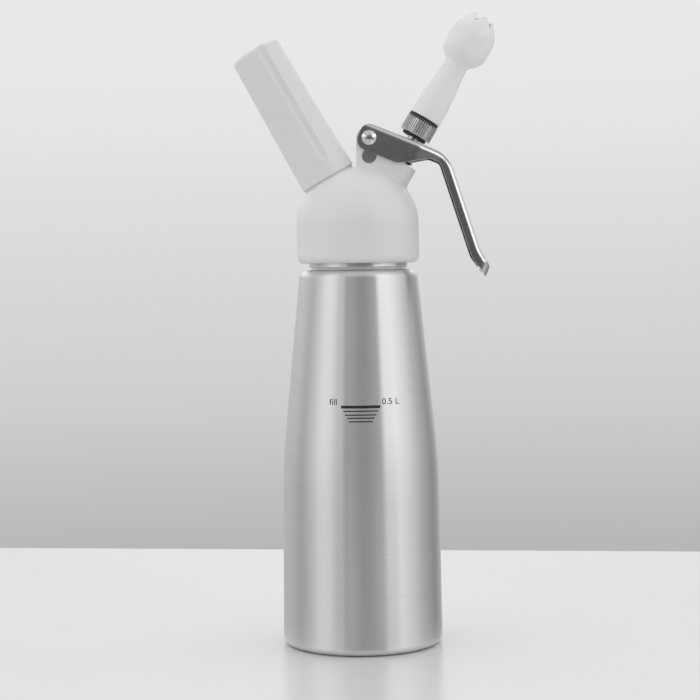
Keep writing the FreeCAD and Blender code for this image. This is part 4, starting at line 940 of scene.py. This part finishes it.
@dataclass
class ChargerArm:
    """The charger inlet with its piercing pin and the holder that screws over it."""

    shop: Workshop
    arm: Arm = field(default_factory=lambda: Arm.tilted(205.6, -29.3))
    thread: Ridge = Ridge(wall=9.15, depth=0.55, root=1.25, crest=0.4, start=30.6, rise=9.6, turns=6.4)
    rest_inside: float = 12.4
    rest_outside: float = 13.25
    rest_start: float = 28.6
    rest_height: float = 0.37
    rest_steps: int = 128

    def rest(self) -> Piece:
        """Makes the low lip on the head that the holder comes down on.

        Returns:
            The lip.
        """
        inside, outside, height, steps = self.rest_inside, self.rest_outside, self.rest_height, self.rest_steps
        corners = [(inside, 0.0), (outside, 0.0), (outside, height), (inside, height)]
        turns = [math.tau * step / steps for step in range(steps)]
        points = [(r * math.cos(a) * MM, r * math.sin(a) * MM, z * MM) for a in turns for r, z in corners]
        faces = [[4 * i + j, 4 * k + j, 4 * k + m, 4 * i + m] for i in range(steps)
                 for k in ((i + 1) % steps,) for j, m in ((0, 1), (1, 2), (2, 3), (3, 0))]
        mesh = bpy.data.meshes.new("holder_rest")
        mesh.from_pydata(points, [], faces)
        mesh.materials.append(self.shop.plastic)
        mesh.transform(self.arm.matrix(self.rest_start))
        return new_piece("holder_rest", mesh, Body.HEAD)

    def build(self) -> Pieces:
        """Builds and dresses the sub-assembly.

        Returns:
            The new pieces.
        """
        brass = TurnedMetal("inlet_brass", BRASS, self.arm.direction, roughness=0.2, rings_per_metre=2600.0).build()
        dress(["charger_inlet", "inlet_lock_nut"], brass)
        dress(["inlet_check_sleeve", "inlet_gasket"], self.shop.rubber)
        dress(["piercing_pin"], self.shop.stainless)
        dress(["charger_holder"], self.shop.plastic)
        return [self.shop.threaded("inlet_thread", self.thread, self.arm, brass, Body.HEAD, Slot.BRASS), self.rest()]


@dataclass
class ValveArm:
    """The valve with its spring, the knurled adapter and the tulip nozzle."""

    shop: Workshop
    arm: Arm = field(default_factory=lambda: Arm.tilted(203.5, 31.0))
    spring_start: float = 33.05
    spring_length: float = 15.35
    spring_radius: float = 5.6
    spring_turns: float = 6.5
    wire: float = 1.1
    stroke: float = 3.4
    thread: Ridge = Ridge(wall=5.75, depth=0.5, root=0.9, crest=0.25, start=66.4, rise=4.4, turns=4.0)
    knurl_radius: float = 7.945
    knurl_start: float = 55.95
    knurl_length: float = 8.2
    knurl_count: int = 42
    knurl_depth: float = 0.25

    def coil(self) -> Piece:
        """Makes the return spring at rest; the real one closes up as the valve is pushed open.

        Returns:
            The spring.
        """
        mesh = self.shop.spring.mesh({
            "Radius": self.spring_radius * MM, "Length": self.spring_length * MM, "Turns": self.spring_turns,
            "Wire": self.wire * MM}, self.shop.stainless, self.arm.matrix(self.spring_start))
        piece = new_piece("spring_coil", mesh, Body.HEAD)
        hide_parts("return_spring")
        tuple(self.arm.point(self.spring_start))
        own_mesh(piece)
        return piece

    def build(self) -> Pieces:
        """Builds and dresses the sub-assembly.

        Returns:
            The new pieces.
        """
        axis = self.arm.direction
        brass = TurnedMetal("bush_brass", BRASS, axis, roughness=0.22, rings_per_metre=2600.0).build()
        plated = TurnedMetal("adapter_plating", (0.8, 0.8, 0.79), axis, roughness=0.14, rings_per_metre=2200.0).build()
        dress(["valve_bush", "bush_nut"], brass)
        dress(["bush_seal", "valve_gasket", "stem_o_ring", "adapter_washer", "nozzle_seal_ring"], self.shop.rubber)
        dress(["valve_stem", "valve_plate", "stem_tail_nut", "spring_cap"], self.shop.stainless)
        dress(["nozzle_adapter"], plated)
        dress(["tulip_nozzle"], MouldedPlastic("white_nozzle_plastic", tone=0.9, roughness=0.25).build())
        coil = self.coil()
        thread = self.shop.threaded("adapter_thread", self.thread, self.arm, plated, Body.VALVE, Slot.ADAPTER)
        knurls = self.shop.knurl.mesh({
            "Radius": self.knurl_radius * MM, "Length": self.knurl_length * MM, "Count": self.knurl_count,
            "Depth": self.knurl_depth * MM}, plated, self.arm.matrix(self.knurl_start))
        return [coil, thread, new_piece("adapter_knurls", knurls, Body.VALVE)]


@dataclass
class Lever:
    """The folded steel lever with its pivot pin, and the bracket's cross pin."""

    steel: PolishedSteel = PolishedSteel("lever_steel_polish", tone=0.72, roughness=0.14, stretch=(0.08, 1, 1))
    pin_steel: PolishedSteel = PolishedSteel("pin_steel_polish", tone=0.78, roughness=0.09, stretch=EVEN)
    cross_pin_steel: TurnedMetal = TurnedMetal("cross_pin_steel", grey(0.5), (0.0, 1.0, 0.0), roughness=0.34,
                                               rings_per_metre=1800.0)

    def build(self) -> Pieces:
        """Dresses the sub-assembly.

        Returns:
            An empty list, because it needs no new pieces.
        """
        dress(["lever"], self.steel.build())
        dress(["lever_pin", "lever_pin_cap"], self.pin_steel.build())
        dress(["bracket_cross_pin"], self.cross_pin_steel.build())
        return []


# -------- the room


def placed(stops: Stops, whole: float, divisor: float = 1.0) -> list[tuple[float, Triple]]:
    """Turns tones by angle, in degrees from the ramp's middle, into the stops of a ramp over the whole angle."""
    return [(angle / whole + 0.5, grey(tone / divisor)) for angle, tone in stops]


@dataclass(frozen=True)
class DarkCard:
    """A dark place in the room that polished metal mirrors.

    Attributes:
        keep: Share of the light that is left in it.
        turns: The four turns that it fades in and out at.
        heights: The four heights.
    """

    keep: float
    turns: tuple[float, float, float, float]
    heights: tuple[float, float, float, float]


@dataclass
class Studio:
    """The table, the room that lights and mirrors in the metal, and the camera, in metres and degrees.

    A turn is counted from the camera's side towards +X, and a height from the horizon up. Tones by height are
    shares of those by turn, and the tones of mirrored are what the bottle's metal shows of its cards.
    """

    TURN = 360.0
    RISE = 180.0
    HEADROOM = 2.0
    SEEN_SCALE = 2.5
    FADES = (0.0, 1.0, 1.0, 0.0)

    camera_place: Triple = (-0.0047, -0.880, 0.1875)
    pitch: float = 2.72
    roll: float = -0.8
    lens: float = 91.08
    sensor: float = 36.0
    nearest: float = 0.01
    table_half: float = 3.0
    table_back: float = 0.2821
    table_turn: float = -6.8
    table_gap: float = 0.0002
    backdrop: tuple[Span, ...] = ((-9.0, 183), (-4.3, 206), (2.1, 222), (5.3, 231), (7.8, 233))
    mirrored: tuple[Span, ...] = (
        (-180, .55), (-160, .46), (-140, .44), (-120, .40), (-110, .35), (-100, .31), (-80, .45), (-65, .60),
        (-50, .58), (-35, .37), (-20, .74), (0, .50), (15, .54), (27, .72), (38, .73), (52, .74), (65, .63),
        (80, .55), (100, .37), (115, .31), (130, .23), (145, .31), (160, .46), (180, .55))
    card_height: tuple[Span, ...] = (
        (-90, .8), (-24, .85), (-10, .85), (2, .95), (9, 1.4), (15, 1.95), (24, 1.95), (33, 1.0), (90, 1.0))
    metal_share: float = 0.85
    dark_cards: tuple[DarkCard, ...] = (
        DarkCard(0.2, (-32.0, -24.0, 32.0, 38.0), (-19.0, -14.0, 24.0, 38.0)),
        DarkCard(0.22, (32.0, 38.0, 50.0, 58.0), (-26.0, -20.0, -6.0, 2.0)))
    ceiling: float = 0.6
    ceiling_edge: Span = (46.0, 60.0)
    ambient: tuple[Span, ...] = (
        (-180, .95), (-90, 1.0), (-45, .86), (0, .66), (45, .86), (90, 1.0), (180, .95))
    ambient_height: tuple[Span, ...] = ((-90, .9), (0, .9), (30, 1.0), (60, 1.12), (90, 1.15))

    def spread(self, tree: WorldTree, turn: Socket, level: Socket, by_turn: Stops, by_height: Stops,
               divisor: float = 1.0) -> Socket:
        """Adds tones by turn times shares by height.

        Args:
            tree: The tree to add them to.
            turn: The direction's turn, from 0 to 1.
            level: The direction's height, from 0 to 1.
            by_turn: Tones by turn.
            by_height: Shares by height, up to the headroom.
            divisor: What the tones are divided by.

        Returns:
            The tone's socket.
        """
        across = tree.ramp(turn, placed(by_turn, self.TURN, divisor))
        upwards = tree.ramp(level, placed(by_height, self.RISE, self.HEADROOM))
        return tree.maths("MULTIPLY", tree.maths("MULTIPLY", across, upwards), self.HEADROOM)

    def cards(self, tree: WorldTree, turn: Socket, level: Socket, rise: Socket) -> Socket:
        """Adds what metal mirrors: tall soft cards, the dark cards and a dim ceiling.

        Args:
            tree: The tree to add it to.
            turn: The direction's turn, from 0 to 1.
            level: The direction's height, from 0 to 1.
            rise: The direction's height in radians.

        Returns:
            The tone's socket.
        """
        card = self.spread(tree, turn, level, self.mirrored, self.card_height, self.metal_share)
        for place in self.dark_cards:
            band = tree.ramp(level, placed(zip(place.heights, self.FADES), self.RISE))
            near = tree.ramp(turn, placed(zip(place.turns, self.FADES), self.TURN))
            dark = tree.maths("MULTIPLY", tree.maths("MULTIPLY", band, near), 1.0 - place.keep)
            card = tree.maths("MULTIPLY", card, tree.maths("SUBTRACT", 1.0, dark))
        above = tree.between(rise, WHOLE, tuple(math.radians(angle) for angle in self.ceiling_edge))
        return tree.mixed(above, card, self.ceiling, "FLOAT")

    def room(self) -> None:
        """Builds the world: backdrop for the camera, soft cards in reflections, and even light elsewhere."""
        tree = WorldTree("studio_room")
        parts = tree.add("ShaderNodeSeparateXYZ", {"Vector": tree.add("ShaderNodeTexCoord").outputs["Generated"]})
        x, y, z = parts.outputs
        share = tree.maths("ADD", tree.maths("MULTIPLY", z, self.SEEN_SCALE), 0.5)
        seen = tree.ramp(share, [(math.sin(math.radians(angle)) * self.SEEN_SCALE + 0.5, grey(linear(shade)))
                                 for angle, shade in self.backdrop])
        round_about = tree.maths("ARCTAN2", x, tree.maths("MULTIPLY", y, -1.0))
        turn = tree.maths("ADD", tree.maths("DIVIDE", round_about, math.tau), 0.5)
        rise = tree.maths("ARCSINE", z)
        level = tree.between(rise, WHOLE, (-math.pi / 2, math.pi / 2))
        soft = self.spread(tree, turn, level, self.ambient, self.ambient_height)
        path = tree.add("ShaderNodeLightPath").outputs
        direct = tree.maths("MAXIMUM", path["Is Camera Ray"], path["Is Transmission Ray"])
        lit = tree.mixed(path["Is Glossy Ray"], soft, self.cards(tree, turn, level, rise), "RGBA")
        tree.feed(tree.background.inputs["Color"], tree.mixed(direct, lit, seen, "RGBA"))

    def table(self) -> None:
        """Makes the table top, a hair below the bottle's foot."""
        turn = Matrix.Rotation(math.radians(self.table_turn), 4, "Z")
        half, back = self.table_half, self.table_back
        corners = [(-half, -half), (half, -half), (half, back), (-half, back)]
        mesh = bpy.data.meshes.new("table_top")
        mesh.from_pydata([turn @ Vector((x, y, -self.table_gap)) for x, y in corners], [], [(0, 1, 2, 3)])
        mesh.materials.append(TableTop("pale_table").build())
        table = bpy.data.objects.new("table_top", mesh)
        bpy.context.scene.collection.objects.link(table)

    def camera(self) -> None:
        """Sets the camera."""
        data = bpy.data.cameras.new("camera")
        data.lens, data.sensor_width, data.clip_start = self.lens, self.sensor, self.nearest
        camera = bpy.data.objects.new("camera", data)
        tilt = Matrix.Rotation(math.radians(90.0 - self.pitch), 4, "X")
        camera.matrix_world = (Matrix.Translation(self.camera_place) @ tilt
                               @ Matrix.Rotation(math.radians(self.roll), 4, "Z"))
        bpy.context.scene.collection.objects.link(camera)
        bpy.context.scene.camera = camera

    def build(self) -> None:
        """Sets up the room, the table and the camera."""
        self.room()
        self.table()
        self.camera()
        bpy.context.scene.view_settings.view_transform = "Standard"


def main() -> None:
    """Builds the sub-assemblies in order and then the room."""
    logging.basicConfig(level=logging.INFO, format="%(name)s %(message)s")
    shop = Workshop()
    for assembly in (Bottle(shop), Head(shop), ChargerArm(shop), ValveArm(shop), Lever()):
        for piece in assembly.build():
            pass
    Studio().build()


if __name__ == "__main__":
    main()
